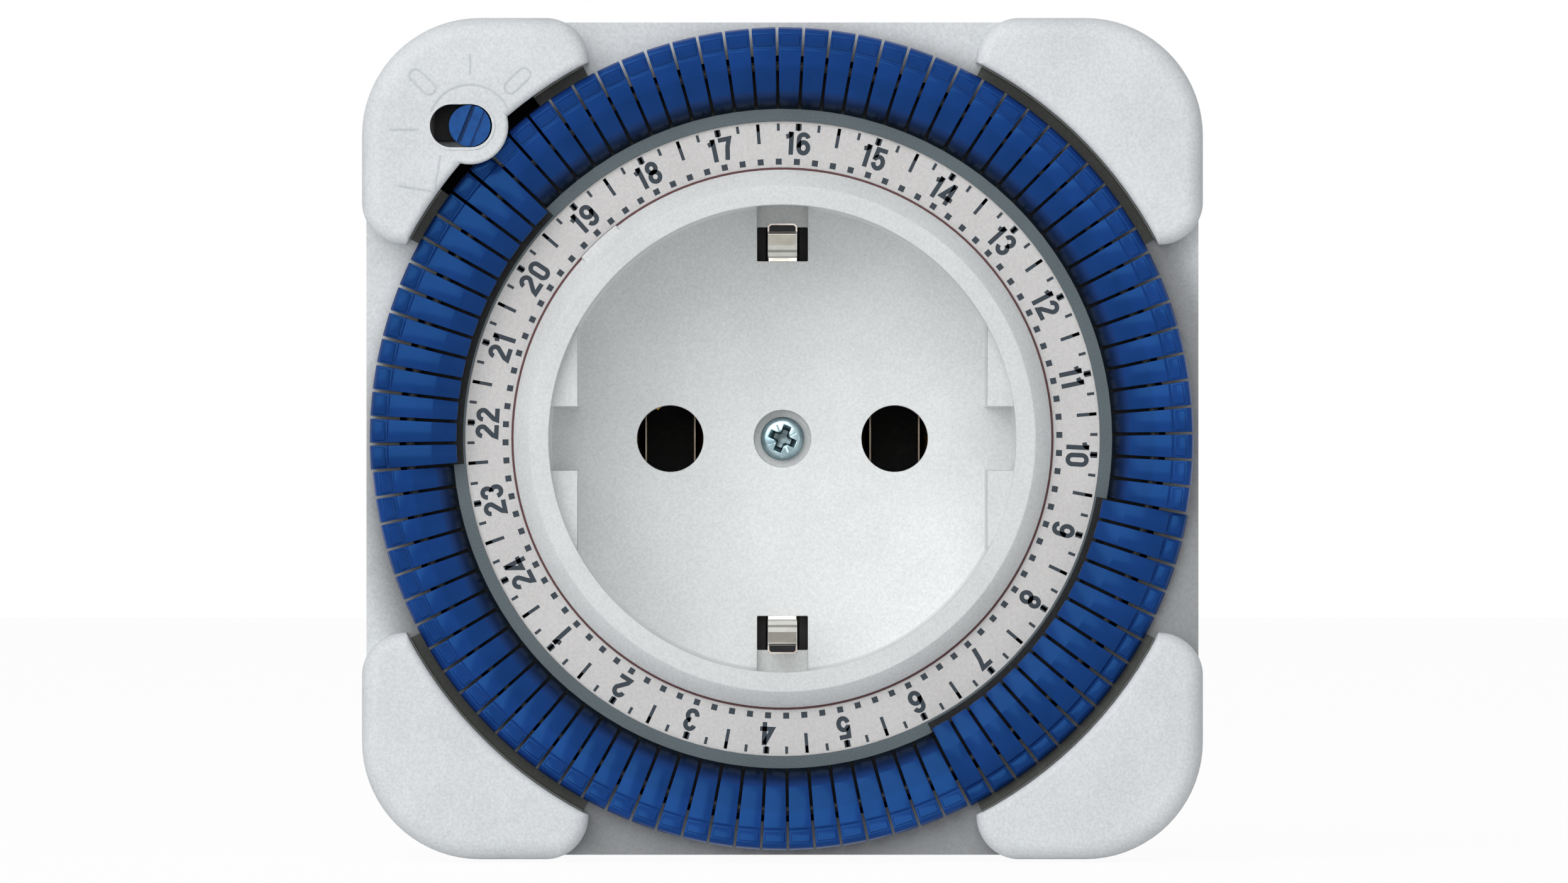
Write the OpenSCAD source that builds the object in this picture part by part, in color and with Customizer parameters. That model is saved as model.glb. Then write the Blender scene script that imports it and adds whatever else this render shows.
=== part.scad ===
// Plug-in timer switch: a mechanical 24 hour timer between a wall socket and an appliance.
// The pieces are drawn looking at the dial, x to the right, y up and z towards the viewer,
// with z = 0 on the face that the plug body presses against. placed() then stands the
// device upright, so that +Z is up and the dial faces -Y.

/* [Socket] */
// Inner diameter of the plug recess
recess_d = 39; // [38.6:0.1:39.6]
// Depth of the plug recess, from the rim to the floor
recess_depth = 17.5; // [16.5:0.1:18.5]
// Wall of the recess, also the flat of its rim
cup_wall = 1.6; // [1.4:0.1:2]
// Thickness of the recess floor
cup_floor = 2.5; // [2:0.1:3]
// Width of the sloping flange outside the rim
flange_w = 1.35; // [1:0.05:1.6]
// Height of the sloping flange
flange_h = 1.5; // [1.2:0.1:1.8]
// Distance between the pin axes
pin_pitch = 19; // [18.5:0.1:19.5]
// Diameter of a socket pin hole
pin_hole_d = 5.64; // [5.2:0.02:6]
// Distance between the faces of the two guide blocks
guide_span = 34.2; // [33.6:0.1:35]
// Width of the slot in each guide block
guide_slot_w = 5.35; // [4.6:0.05:6]
// Width of an earth window in the floor
earth_window_w = 4.3; // [3.6:0.1:5]
// Width of an earth strap
earth_strip_w = 2.45; // [2:0.05:3]
// Thickness of the stamped metal strips
strip_t = 0.6; // [0.4:0.05:0.8]

/* [Plug] */
// Diameter of a plug pin
plug_pin_d = 4.8; // [4.5:0.05:5]
// Length of a plug pin
plug_pin_len = 19; // [17:0.5:20]
// Diameter of the plug body
plug_d = 37; // [36:0.1:38]
// Depth of the plug body
plug_depth = 17.5; // [16:0.1:18]
// Thickness of the plug face
plug_face_t = 4; // [3:0.1:5]
// Wall of the plug body
plug_wall = 2; // [1.6:0.1:2.4]

/* [Dial] */
// Width of the printed scale
scale_w = 3.9; // [3.5:0.1:4.5]
// Thickness of the scale ring
scale_t = 0.8; // [0.6:0.05:1]
// Width of the raised grey rim
rim_w = 1; // [0.8:0.05:1.2]
// Height of the raised grey rim over the scale
rim_h = 0.3; // [0.1:0.05:0.4]
// Number of tappets, one for each quarter of an hour
tappet_count = 96; // [96]
// Gap between neighbouring tappets
tappet_gap = 0.25; // [0.2:0.01:0.3]
// Angle between a tappet's two positions
tappet_throw = 24; // [20:1:25]
// Radius of the bead that the tappets turn on
bead_r = 0.42; // [0.38:0.01:0.46]
// Thickness of the web under the bead
web_t = 0.4; // [0.3:0.02:0.44]
// Turn of the dial: clockwise angle of hour 16 from the top
dial_phase = 2.98; // [0:0.01:14.9]
// First hour of each stretch that is switched on
on_from = [6, 19.25]; // [0:0.25:24]
// Last hour of each stretch that is switched on
on_to = [9.5, 22.5]; // [0:0.25:24]

/* [Casing] */
// Wall of the casing
wall = 1.6; // [1.4:0.1:2]
// Thickness of the front face
face_t = 2; // [1.6:0.1:2.2]
// Margin from the tappets to the outside of the corner pads
side_margin = 0.6; // [0.5:0.05:1]
// Step from the corner pads to the flat sides
side_recess = 0.3; // [0.2:0.05:0.4]
// Outer corner radius
corner_r = 9.8; // [8:0.1:10]
// Height of the corner pads over the front face
pad_h = 4; // [3.8:0.1:4.4]
// Radius of the rounded ends of the corner pads
ear_r = 3.6; // [2.5:0.1:4]
// Gap between the tappets and the corner pads
channel_gap = 0.84; // [0.7:0.02:1]
// Rounding of the front and rear edges
edge_r = 1.6; // [1:0.1:2]
// Depth of the rear shell, from its back to the parting line
rear_depth = 22.5; // [21:0.1:23]
// Diameter of a housing screw
screw_d = 2.8; // [2.4:0.1:3]

/* [Override] */
// Distance of the round nose's middle from the channel wall, along x and along y
nose_at = 1.08; // [0.9:0.02:1.2]
// Radius of the round nose
nose_r = 3.2; // [2.9:0.05:3.3]
// Width of the slot
slot_w = 3.59; // [3.4:0.01:3.8]
// Diameter of the knob
knob_d = 3.45; // [3.2:0.05:3.5]
// Travel of the knob
knob_travel = 1.6; // [1.2:0.1:1.8]
// Travel of the switch follower
follower_travel = 1.2; // [0.8:0.1:1.3]

/* [Clockwork] */
// Module of the dial teeth
dial_module = 0.5; // [0.48:0.01:0.51]
// Number of teeth of the drive pinion
drive_teeth = 12; // [12]
// Module of the train wheels
train_module = 0.3; // [0.28:0.01:0.3]
// Teeth of a train wheel
wheel_teeth = 40; // [40]
// Teeth of a train pinion
pinion_teeth = 10; // [10]
// Play between meshed teeth
backlash = 0.1; // [0.06:0.01:0.14]
// Thickness of a train wheel
wheel_t = 1.4; // [1.2:0.1:1.5]
// Diameter of the motor
motor_d = 18.4; // [17:0.1:18.6]
// Height of the motor
motor_h = 11.5; // [10.5:0.1:11.6]
// Diameter of the arbors
arbor_d = 1; // [0.8:0.05:1.1]

/* [Hidden] */
$fn = 48;
eps = 0.01;
run_gap = 0.05;
play = 0.1;
gap = 0.3;

// Levels along z
rear_z = plug_depth;
inner_z = rear_z + wall + 0.4;
part_z = rear_z + rear_depth;
motor_top = inner_z + motor_h;
plate_t = 0.8;
level_1 = motor_top + plate_t + 0.6;
level_step = wheel_t + 0.7;
level_2 = level_1 + level_step;
level_3 = level_2 + level_step;
level_4 = level_3 + level_step;
stack_top = level_4 + wheel_t;
clutch_h = 0.6;
drive_flange_t = 0.6;
drive_z = stack_top + clutch_h + drive_flange_t;
rim_z = max(50, drive_z + 8.6) + recess_depth - 17.5;
floor_z = rim_z - recess_depth;
cup_z = floor_z - cup_floor;
flange_z = rim_z - flange_h;
scale_z = flange_z - 0.2;
ring_top = scale_z + rim_h;
pivot_z = ring_top + 1.7;
face_z = pivot_z - 0.9;
pad_z = face_z + pad_h;
nose_z = pad_z - 1.1;
flange_in_z = scale_z - scale_t - 1.7;
skirt_z = drive_z + 0.6;

// Radii around the dial axis
recess_r = recess_d / 2;
cup_r = recess_r + cup_wall;
flange_r = cup_r + flange_w;
scale_r1 = flange_r + 0.17;
scale_r2 = scale_r1 + scale_w;
rim_r = scale_r2 + rim_w;
pivot_r = rim_r + 3.48;
tappet_r = pivot_r + 3.4;
channel_r = tappet_r + channel_gap;
dial_bore_r = cup_r + play;
web_r = pivot_r + web_t / 2;
hole_r = web_r + 0.75;
half_w = tappet_r + side_margin;
side_w = half_w - side_recess;
inner_w = side_w - wall;
inner_r = corner_r - wall;
sleeve_r1 = cup_r + 0.25;
sleeve_r2 = sleeve_r1 + 0.9;
pad_edge = sqrt(channel_r * channel_r - pow(half_w - ear_r, 2)) + 0.15;
nose_c = channel_r * sqrt(0.5) + nose_at;

// Teeth: the dial has as many as fit inside its web
dial_teeth = round(2 * (web_r - 1.2) / dial_module);
dial_pitch_r = dial_module * dial_teeth / 2;
drive_pitch_r = dial_module * drive_teeth / 2;
drive_dist = dial_pitch_r + drive_pitch_r;
drive_dir = -45;
train_dist = train_module * (wheel_teeth + pinion_teeth) / 2;
side_dir = 67.5;
drive_at = drive_dist * [cos(drive_dir), sin(drive_dir)];
side_at = drive_at + train_dist * [cos(side_dir), sin(side_dir)];
wheel_tip_r = train_module * (wheel_teeth / 2 + 1);
arbor_r = arbor_d / 2;
shaft_r = 0.75;
motor_r = motor_d / 2;

// Switch corner
follow_r = tappet_r - 1;
follow_at = follow_r * [-sqrt(0.5), sqrt(0.5)];
window_half = 9;
window_r = channel_r + 1.3;

// State of a tappet whose quarter of an hour starts at hour h
function is_on(h) = len([for (k = [0 : len(on_from) - 1]) if (h >= on_from[k] && h < on_to[k]) 1]) > 0;
// Clockwise angle of hour h from the top
function hour_angle(h) = dial_phase + (16 - h) * 15;
// A two-digit number
function two(n) = str(n < 10 ? "0" : "", n);
step_h = 24 / tappet_count;
hours_all = [for (k = [0 : tappet_count - 1]) k * step_h];
// A group starts at each full hour and at each change of state
starts = [for (h = hours_all) if (h == floor(h) || is_on(h) != is_on(h - step_h)) h];
groups = [for (k = [0 : len(starts) - 1]) [starts[k], k + 1 < len(starts) ? starts[k + 1] : 24]];
function group_name(g) =
    str("tappets_", two(floor(g[0])),
        g[0] == floor(g[0]) ? "" : str("_", two(round((g[0] - floor(g[0])) * 60))));

// ---- Helpers ----

module placed() {
    rotate([90, 0, 0]) children();
}

// A bar from z0 to z1
module tube(r, z0, z1) {
    translate([0, 0, z0]) cylinder(r = r, h = z1 - z0);
}

// A ring from z0 to z1
module ring(r1, r2, z0, z1) {
    difference() {
        tube(r2, z0, z1);
        tube(r1, z0 - 1, z1 + 1);
    }
}

// A block given by its lowest and highest corners
module block(a, b) {
    translate(a) cube(b - a);
}

// A square of half width w with corners of radius r
module round_square(w, r) {
    union() {
        square([2 * w, 2 * (w - r)], center = true);
        square([2 * (w - r), 2 * w], center = true);
        for (x = [-1, 1], y = [-1, 1]) translate([x, y] * (w - r)) circle(r = r);
    }
}

module slab(z0, z1) {
    translate([0, 0, z0]) linear_extrude(z1 - z0) children();
}

// The four quadrants
module four() {
    for (x = [0, 1], y = [0, 1]) mirror([x, 0, 0]) mirror([0, y, 0]) children();
}

// Involute teeth: half the tooth angle at radius r, for pitch radius p, base radius b and n teeth
function inv(a) = tan(a) - a * PI / 180;
function half_tooth(r, p, b, n) =
    90 / n - backlash / 4 / p * 180 / PI + (inv(20) - inv(acos(min(1, b / max(r, b))))) * 180 / PI;

module gear_2d(n, m, turn) {
    p = m * n / 2;
    b = p * cos(20);
    tip = p + 0.95 * m;
    root = p - 1.25 * m;
    radii = [root, max(root + 0.1, (root + p) / 2), p, tip];
    polygon([for (k = [0 : n - 1], s = [-1, 1], i = [0 : 3])
        let (r = radii[s < 0 ? i : 3 - i], a = turn + k * 360 / n + s * half_tooth(r, p, b, n))
            r * [cos(a), sin(a)]]);
}

// Turn of a gear of nb teeth so that it meshes, in direction d, with a gear of na teeth turned by ta
function mesh_turn(d, ta, na, nb) = d + 180 - (0.5 - (d - ta) * na / 360) * 360 / nb;

// A strip of thickness t along a path of points, given as the outline of the thickened path
function unit(v) = v / norm(v);
function side_of(p, k, t) =
    let (a = k == 0 ? unit(p[1] - p[0]) : unit(p[k] - p[k - 1]),
         b = k == len(p) - 1 ? a : unit(p[k + 1] - p[k]),
         m = unit(a + b), n = [-m[1], m[0]])
    n * t / 2 / (m * a);
function strip_outline(p, t) = concat(
    [for (k = [0 : len(p) - 1]) p[k] + side_of(p, k, t)],
    [for (k = [len(p) - 1 : -1 : 0]) p[k] - side_of(p, k, t)]);

// A strip in the y-z plane, of width w along x, with its middle at x
module strip_yz(x, w, t, p) {
    translate([x - w / 2, 0, 0]) rotate([90, 0, 90]) linear_extrude(w) polygon(strip_outline(p, t));
}

// A strip in the x-z plane, of width w along y, with its middle at y
module strip_xz(y, w, t, p) {
    translate([0, y + w / 2, 0]) rotate([90, 0, 0]) linear_extrude(w) polygon(strip_outline(p, t));
}

// ---- Casing ----

// Outline of the casing: four corner pillars and four flat sides between them
module corner_area() {
    four() difference() {
        intersection() {
            round_square(half_w, corner_r);
            translate([pad_edge, pad_edge]) square(half_w);
        }
        circle(r = channel_r);
        for (s = [0, 1]) mirror([s, -s, 0]) difference() {
            translate([pad_edge - 1, half_w - ear_r]) square([ear_r + 1, ear_r + 1]);
            translate([pad_edge + ear_r, half_w - ear_r]) circle(r = ear_r);
        }
    }
}

module casing_area() {
    union() {
        round_square(side_w, corner_r - side_recess);
        corner_area();
    }
}

// The space between z0 and z1 with its edges rounded by r at the low end, the high end or both
module edge_profile(z0, z1, r, low, high) {
    difference() {
        translate([-half_w, z0]) square([2 * half_w, z1 - z0]);
        for (s = [-1, 1]) {
            if (low) difference() {
                translate([s * half_w - r, z0 - r]) square(2 * r);
                translate([s * (half_w - r), z0 + r]) circle(r = r);
                translate([s > 0 ? -2 * half_w : s * half_w + r, z0 - r])
                    square([3 * half_w - r, 3 * r]);
            }
            if (high) difference() {
                translate([s * half_w - r, z1 - r]) square(2 * r);
                translate([s * (half_w - r), z1 - r]) circle(r = r);
                translate([s > 0 ? -2 * half_w : s * half_w + r, z1 - 2 * r])
                    square([3 * half_w - r, 3 * r]);
            }
        }
    }
}

module edge_limits(z0, z1, r, low, high) {
    intersection() {
        rotate([90, 0, 0]) linear_extrude(3 * half_w, center = true) edge_profile(z0, z1, r, low, high);
        rotate([90, 0, 90]) linear_extrude(3 * half_w, center = true) edge_profile(z0, z1, r, low, high);
    }
}

// Section of what a rounding of radius f takes off a top edge at distance r and height z
module spandrel(r, z, f) {
    difference() {
        translate([r - f, z - f]) square(2 * f);
        translate([r - f, z - f]) circle(r = f);
    }
}

// The same, taken off the four outer corners
module corner_roundings(z, f) {
    four() translate([half_w - corner_r, half_w - corner_r, 0])
        rotate_extrude(angle = 90) spandrel(corner_r, z, f);
}

// Roundings of the pads' ends and of their edge along the tappets
module pad_roundings() {
    four() for (s = [0, 1]) mirror([s, -s, 0]) translate([pad_edge + ear_r, half_w - ear_r, 0]) {
        rotate([0, 0, 90]) rotate_extrude(angle = 90) spandrel(ear_r, pad_z, ear_edge_r);
        rotate([90, 0, 0]) linear_extrude(1.2) mirror([1, 0]) spandrel(ear_r, pad_z, ear_edge_r);
    }
    rotate_extrude() translate([2 * channel_r, 0]) mirror([1, 0])
        spandrel(channel_r, pad_z, channel_edge_r);
}

rear_edge_r = edge_r + 0.9;
nose_edge_r = 0.3;
slot_edge_w = 0.22;
slot_edge_h = 0.08;
ear_edge_r = 1.2;
channel_edge_r = 0.6;
post_r = 2.8;
post_at = inner_w - inner_r + (inner_r - post_r - gap) * sqrt(0.5);
post_top = part_z - 4;

// The two screw posts, in opposite corners
module at_posts() {
    for (s = [0, 180]) rotate([0, 0, s]) translate([post_at, post_at, 0]) children();
}

module rear_housing() color("gainsboro") placed() difference() {
    union() {
        intersection() {
            difference() {
                slab(rear_z, part_z) casing_area();
                slab(inner_z, part_z + 1) round_square(inner_w, inner_r);
            }
            edge_limits(rear_z, part_z + 5, rear_edge_r, true, false);
        }
        tube(plug_d / 2, 0, rear_z + 1);
        // Lip inside the parting line, clear of the screw posts and of the train
        difference() {
            union() {
                slab(part_z - 2, part_z) round_square(inner_w + eps, inner_r);
                slab(part_z - eps, part_z + 1.2) round_square(inner_w - play, inner_r - play);
            }
            slab(part_z - 3, part_z + 2) round_square(inner_w - 0.9, inner_r - 0.9);
            at_posts() tube(post_r + gap, 0, part_z + 2);
            at_side() tube(wheel_tip_r + 0.5, 0, part_z + 2);
        }
        // Sleeve that carries the dial
        ring(sleeve_r1, sleeve_r2, rear_z + 1, flange_in_z - 0.2);
        // Posts for the housing screws
        at_posts() {
            tube(post_r, rear_z + 1, post_top);
            tube(screw_d + 1.2, rear_z + 1, rear_z + 4.6);
        }
    }
    translate([0, 0, 2 * rear_z]) mirror([0, 0, 1]) corner_roundings(rear_z, rear_edge_r);
    // Hollow of the plug body
    tube(plug_d / 2 - plug_wall, plug_face_t, inner_z + eps);
    // Faces and grooves that pass the guide blocks of a wall socket
    for (s = [-1, 1]) mirror([s < 0 ? 1 : 0, 0, 0]) {
        block([guide_span / 2 - 0.45, 2.3, -1], [plug_d, 11, rear_z]);
        block([guide_span / 2 - 0.45, -11, -1], [plug_d, -2.3, rear_z]);
    }
    // Grooves of the earth contacts
    for (s = [0, 1]) mirror([0, s, 0]) {
        block([-3, plug_d / 2 - 1.2, -1], [3, plug_d, rear_z + eps]);
        block([-plug_strip_w / 2 - play, plug_d / 2 - plug_wall - 2.2, plug_face_t - 1.2],
            [plug_strip_w / 2 + play, plug_d, plug_face_t + eps]);
    }
    // Holes of the plug pins
    for (s = [-1, 1]) translate([s * pin_pitch / 2, 0, 0]) tube(pin_root_r, -1, plug_face_t + 1);
    // Passage for the two strips through the sleeve
    rotate([0, 0, 135]) block([sleeve_r1 - 5, live_y - strap_half - 0.6, inner_z],
        [sleeve_r2 + 1, out_y + strap_half + 0.6, cup_z - 1.5]);
    // Housing screws, with sunk heads
    at_posts() {
        tube(screw_d / 2 + 0.1, 0, part_z);
        tube(screw_d, 0, rear_z + 3.2);
    }
}

plug_strip_w = earth_strip_w + 1.5;

module front_cover() color("gainsboro") placed() difference() {
    union() {
        intersection() {
            union() {
                difference() {
                    slab(part_z + 0.35, face_z) casing_area();
                    slab(part_z, face_z - face_t) round_square(inner_w, inner_r);
                }
                // Narrow band that shades the parting line
                difference() {
                    slab(part_z, part_z + 0.4) round_square(side_w - 0.2, corner_r - 0.5);
                    slab(part_z - 1, part_z + 1) round_square(inner_w, inner_r);
                }
                difference() {
                    slab(face_z - eps, pad_z) corner_area();
                    corner_roundings(pad_z, edge_r);
                    pad_roundings();
                }
            }
            edge_limits(part_z - 5, pad_z, edge_r, false, true);
        }
        translate([-nose_c, nose_c, 0]) difference() {
            tube(nose_r, nose_z, pad_z);
            rotate_extrude() spandrel(nose_r, pad_z, nose_edge_r);
        }
        // Thin raised edge of the slot
        slot_place() knob_slot(slot_w / 2 + slot_edge_w, pad_z - 1, pad_z + slot_edge_h);
        // Bosses that the housing screws bite into
        at_posts() tube(post_r, post_top, face_z);
        // Boss of the drive arbor
        at_drive() tube(arbor_r + 0.9, flange_in_z + 0.3, face_z - eps);
        // Rails of the override slider
        for (y = [slide_y1 - 1 - play, slide_y2 + play])
            block([rail_x1, y, rail_z], [rail_x2, y + 1, face_z - 1]);
        for (y = [slide_y1 - play - eps, slide_y2 + play - 0.5])
            block([rail_x1, y, rail_z], [rail_x2, y + 0.5 + eps, slide_z1 - play]);
    }
    tube(hole_r, part_z, pad_z + 1);
    // Hollow of the pads
    difference() {
        slab(face_z - face_t - eps, pad_z - 1.5) round_square(inner_w, inner_r);
        tube(channel_r + 1.3, 0, pad_z);
        block([-inner_w - 1, -pad_edge - 1.4, 0], [inner_w + 1, pad_edge + 1.4, pad_z]);
        block([-pad_edge - 1.4, -inner_w - 1, 0], [pad_edge + 1.4, inner_w + 1, pad_z]);
        at_posts() tube(post_r, 0, pad_z);
        at_drive() tube(arbor_r + 1.2, 0, pad_z);
        for (y = [slide_y1 - 1 - play, slide_y2 + play])
            block([-inner_w - 1, y, 0], [rail_x2, y + 1, pad_z]);
    }
    // Window that the follower and the tappets meet in
    intersection() {
        ring(hole_r - 1, window_r, face_z - face_t - 1, nose_z);
        rotate([0, 0, 135 - window_half]) rotate_extrude(angle = 2 * window_half)
            square([2 * window_r, pad_z]);
    }
    // Slot of the override knob
    slot_place() knob_slot(slot_w / 2, face_z - face_t - 1, pad_z + 1);
    // Blind hole of the drive arbor
    at_drive() tube(arbor_r, 0, face_z - 0.6);
    // Thread holes of the housing screws
    at_posts() tube(screw_d / 2, 0, screw_top);
}

screw_top = part_z + 4.5;

module slot_place() {
    translate([-nose_c + (slot_w - knob_d) / 2, nose_c, 0]) children();
}

module knob_slot(r, z0, z1) {
    tube(r, z0, z1);
    translate([-knob_travel, 0, 0]) tube(r, z0, z1);
    block([-knob_travel, -r, z0], [0, r, z1]);
}

module housing_screws() color("silver") placed()
    at_posts() difference() {
        union() {
            tube(screw_d / 2, rear_z + 1.4, screw_top - 0.4);
            tube(screw_d - 0.2, rear_z + 1.4, rear_z + 3.2);
        }
        for (a = [0, 90]) rotate([0, 0, a]) block([-1.6, -0.35, rear_z], [1.6, 0.35, rear_z + 2.4]);
    }

// ---- Socket ----

screw_head_r = 1.85;
screw_hole_r = 2.43;
pointer_dir = 128;

module socket_cup() color("whitesmoke") placed() difference() {
    union() {
        rotate_extrude() polygon([
            [0, cup_z], [cup_r, cup_z], [cup_r, flange_z], [flange_r, flange_z], [flange_r, flange_z + 0.3],
            [cup_r, rim_z], [recess_r, rim_z], [recess_r, floor_z], [0, floor_z]]);
        // Guide blocks
        intersection() {
            tube(recess_r + 0.5, floor_z - 1, rim_z - 1.5);
            for (s = [-1, 1], y = [-1, 1]) mirror([s < 0 ? 1 : 0, 0, 0]) mirror([0, y < 0 ? 1 : 0, 0])
                block([guide_span / 2, guide_slot_w / 2, floor_z - 1], [recess_r + 1, recess_r, rim_z]);
        }
        // Pointer that shows the time of day
        rotate([0, 0, pointer_dir]) rotate_extrude(angle = 10)
            translate([cup_r - 0.5, flange_z + 0.1]) square([flange_w + 0.64, 0.6]);
    }
    for (s = [-1, 1]) translate([s * pin_pitch / 2, 0, 0]) tube(pin_hole_d / 2, cup_z - 1, rim_z);
    tube(screw_hole_r, floor_z - 1.5, rim_z);
    tube(1.5, cup_z - 1, rim_z);
    for (s = [0, 1]) mirror([0, s, 0]) {
        block([-earth_window_w / 2, recess_r - 4.5, cup_z - 1],
            [earth_window_w / 2, recess_r - 1.6, rim_z - 1.6]);
        block([-earth_window_w / 2, recess_r - 2.5, floor_z - 1.2],
            [earth_window_w / 2, recess_r + 0.3, rim_z - 1.6]);
    }
}

module centre_screw() color("lightsteelblue") placed() difference() {
    union() {
        tube(1.3, carrier_z + 2.5, floor_z - 1.4);
        tube(screw_head_r, floor_z - 1.5, floor_z - 0.2);
    }
    for (a = [67, 157]) rotate([0, 0, a]) block([-1.2, -0.28, floor_z - 1.2], [1.2, 0.28, floor_z]);
}

module socket_earth_strap() color("silver") placed() union() {
    difference() {
        block([-earth_strip_w / 2, -clip_y, cup_z - strip_t], [earth_strip_w / 2, clip_y, cup_z]);
        tube(1.5, 0, rim_z);
    }
    difference() {
        tube(3.2, cup_z - strip_t, cup_z);
        tube(1.5, 0, rim_z);
    }
    for (s = [0, 1]) mirror([0, s, 0]) strip_yz(0, earth_strip_w, strip_t, clip_path());
}

// Middle line of an earth clip: out of its window, bowed towards the plug and back to the wall
clip_y = recess_r - 2.3;
clip_foot_y = clip_y - strip_t / 2;
clip_bow = 1.75;
function clip_path() = concat(
    [[clip_foot_y, cup_z - strip_t + 0.1], [clip_y, floor_z + 0.5]],
    [for (k = [0 : 6]) let (u = k / 6) [clip_y - clip_bow * sin(180 * u * 0.86), floor_z + 1.5 + 10.5 * u]],
    [[clip_y + 0.15, floor_z + 13.2]]);

// ---- Contacts ----

carrier_z = inner_z;
carrier_r = sleeve_r1 - 0.2;
pin_root_r = plug_pin_d / 2 - 0.4;
contact_z = carrier_z + 1;
half_t = strip_t / 2;
leaf_x = plug_pin_d / 2 + half_t + 0.05;

// Shafts that take in the ends of the appliance's pins
shaft_in_r = plug_pin_d / 2 + 0.35;
shaft_out_r = shaft_in_r + 0.7;
shaft_z = floor_z - plug_pin_len - 0.4;

// Backs of the contacts, the riser behind the right one and their chambers
back_y = shaft_out_r - 0.4;
riser_y = shaft_out_r + 0.1;
riser_half = 1.5;
chamber_x = leaf_x + 0.85;
chamber_y = shaft_out_r + 0.35;

module contact_carrier() color("dimgray") placed() difference() {
    union() {
        tube(carrier_r, carrier_z, cup_z);
        at_pins() tube(shaft_out_r, shaft_z - 0.8, carrier_z + eps);
    }
    at_pins() {
        block([-chamber_x, -chamber_y, contact_z], [chamber_x, chamber_y, cup_z + 1]);
        tube(shaft_in_r, shaft_z, contact_z + eps);
    }
    // Slot of the neutral riser
    block([pin_pitch / 2 - riser_half - 0.2, riser_y - 0.2, carrier_z - 1],
        [pin_pitch / 2 + riser_half + 0.2, riser_y + strip_t + 0.2, contact_z + 2.5]);
    // Bed of the earth strap
    block([-earth_strip_w / 2 - 0.2, 0.5 - recess_r, cup_z - strip_t],
        [earth_strip_w / 2 + 0.2, recess_r - 0.5, cup_z + 1]);
    for (s = [-1, 1]) translate([0, s * clip_foot_y, 0])
        block([-earth_strip_w / 2 - 0.2, -1.2, cup_z - strip_t - 0.6], [earth_strip_w / 2 + 0.2, 1.2, cup_z]);
    tube(3.4, cup_z - strip_t, cup_z + 1);
    tube(1.3, carrier_z + 2, cup_z);
    // Channels of the two strips to the switch
    rotate([0, 0, 135]) {
        block([live_x - 1, live_y - strap_half - 0.2, carrier_z - 1],
            [carrier_r + 1, live_y + strap_half + 0.2, live_z + half_t + 0.1]);
        block([out_x - 0.2, out_y - strap_half - 0.2, out_z - half_t - 0.1],
            [carrier_r + 1, out_y + strap_half + 0.2, cup_z + 1]);
    }
    block([-pin_pitch / 2 - chamber_x, 2, contact_z], [-pin_pitch / 2 + chamber_x, 6.2, cup_z + 1]);
    // Slot of the earth link
    block([-1.3, link_y - strip_t / 2 - play, 0], [1.3, link_y + strip_t / 2 + play, cup_z]);
}

module at_pins() {
    for (s = [-1, 1]) translate([s * pin_pitch / 2, 0, 0]) children();
}

// Both strips leave towards the switch, along the direction of 135 degrees, one above the other
strap_half = 1.6;
live_y = strap_half;
live_x = sqrt(pow(plug_d / 2 - plug_wall - 0.9, 2) - pow(live_y + strap_half, 2));
live_low_z = plug_face_t + 1.2;
live_z = carrier_z + 0.5;
out_x = pin_pitch / 2 - 0.3;
out_y = 4.2;
out_z = carrier_z + 4.4;
neutral_z = plug_face_t + 4.4;

// Two leaves that hold a pin, joined by a back
module socket_contact(s) translate([s * pin_pitch / 2, 0, 0]) {
    leaf_w = 2.5 + back_y + strip_t + 0.05;
    for (k = [-1, 1]) strip_xz(leaf_w / 2 - 2.5, leaf_w, strip_t, [
        [k * leaf_x, contact_z], [k * leaf_x, cup_z - 2], [k * (leaf_x + 0.35), cup_z - 0.5]]);
    block([-leaf_x, back_y, contact_z + 0.3], [leaf_x, back_y + strip_t, cup_z - 3]);
}

module socket_contact_left() color("goldenrod") placed() union() {
    socket_contact(-1);
    // Strip to the contact leaf
    slab(out_z - half_t, out_z + half_t) difference() {
        union() {
            rotate(135) translate([out_x, out_y - strap_half])
                square([switch_r1 - out_x, 2 * strap_half]);
            translate([-pin_pitch / 2 - leaf_x, back_y + 0.3]) square([leaf_x + 3.3, 5.7 - back_y]);
        }
        circle(r = 5);
    }
    // Riser to the leaf
    rotate([0, 0, 135]) block([switch_r1 - strip_t, out_y - strap_half, out_z],
        [switch_r1, out_y + strap_half, leaf_z]);
}

// The right one reaches down to the right pin's root
module socket_contact_right() color("goldenrod") placed() union() {
    socket_contact(1);
    translate([pin_pitch / 2, 0, 0]) {
        block([-riser_half, riser_y, neutral_z + 0.1], [riser_half, riser_y + strip_t, contact_z + 1.5]);
        slab(neutral_z, neutral_z + strip_t) difference() {
            union() {
                circle(r = 3.2);
                translate([0.1 - riser_half, 0]) square([2 * riser_half - 0.2, riser_y + strip_t / 2]);
            }
            circle(r = pin_root_r);
        }
    }
}

module plug_pin(s) {
    translate([s * pin_pitch / 2, 0, 0]) {
        tube(plug_pin_d / 2, 1.2 - plug_pin_len, 0);
        translate([0, 0, -plug_pin_len]) cylinder(r1 = plug_pin_d / 2 - 1.1, r2 = plug_pin_d / 2, h = 1.2);
        tube(pin_root_r, -eps, s < 0 ? plug_face_t + 3 : neutral_z + strip_t);
    }
}

module plug_pin_left() color("silver") placed() plug_pin(-1);
module plug_pin_right() color("silver") placed() plug_pin(1);

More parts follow.
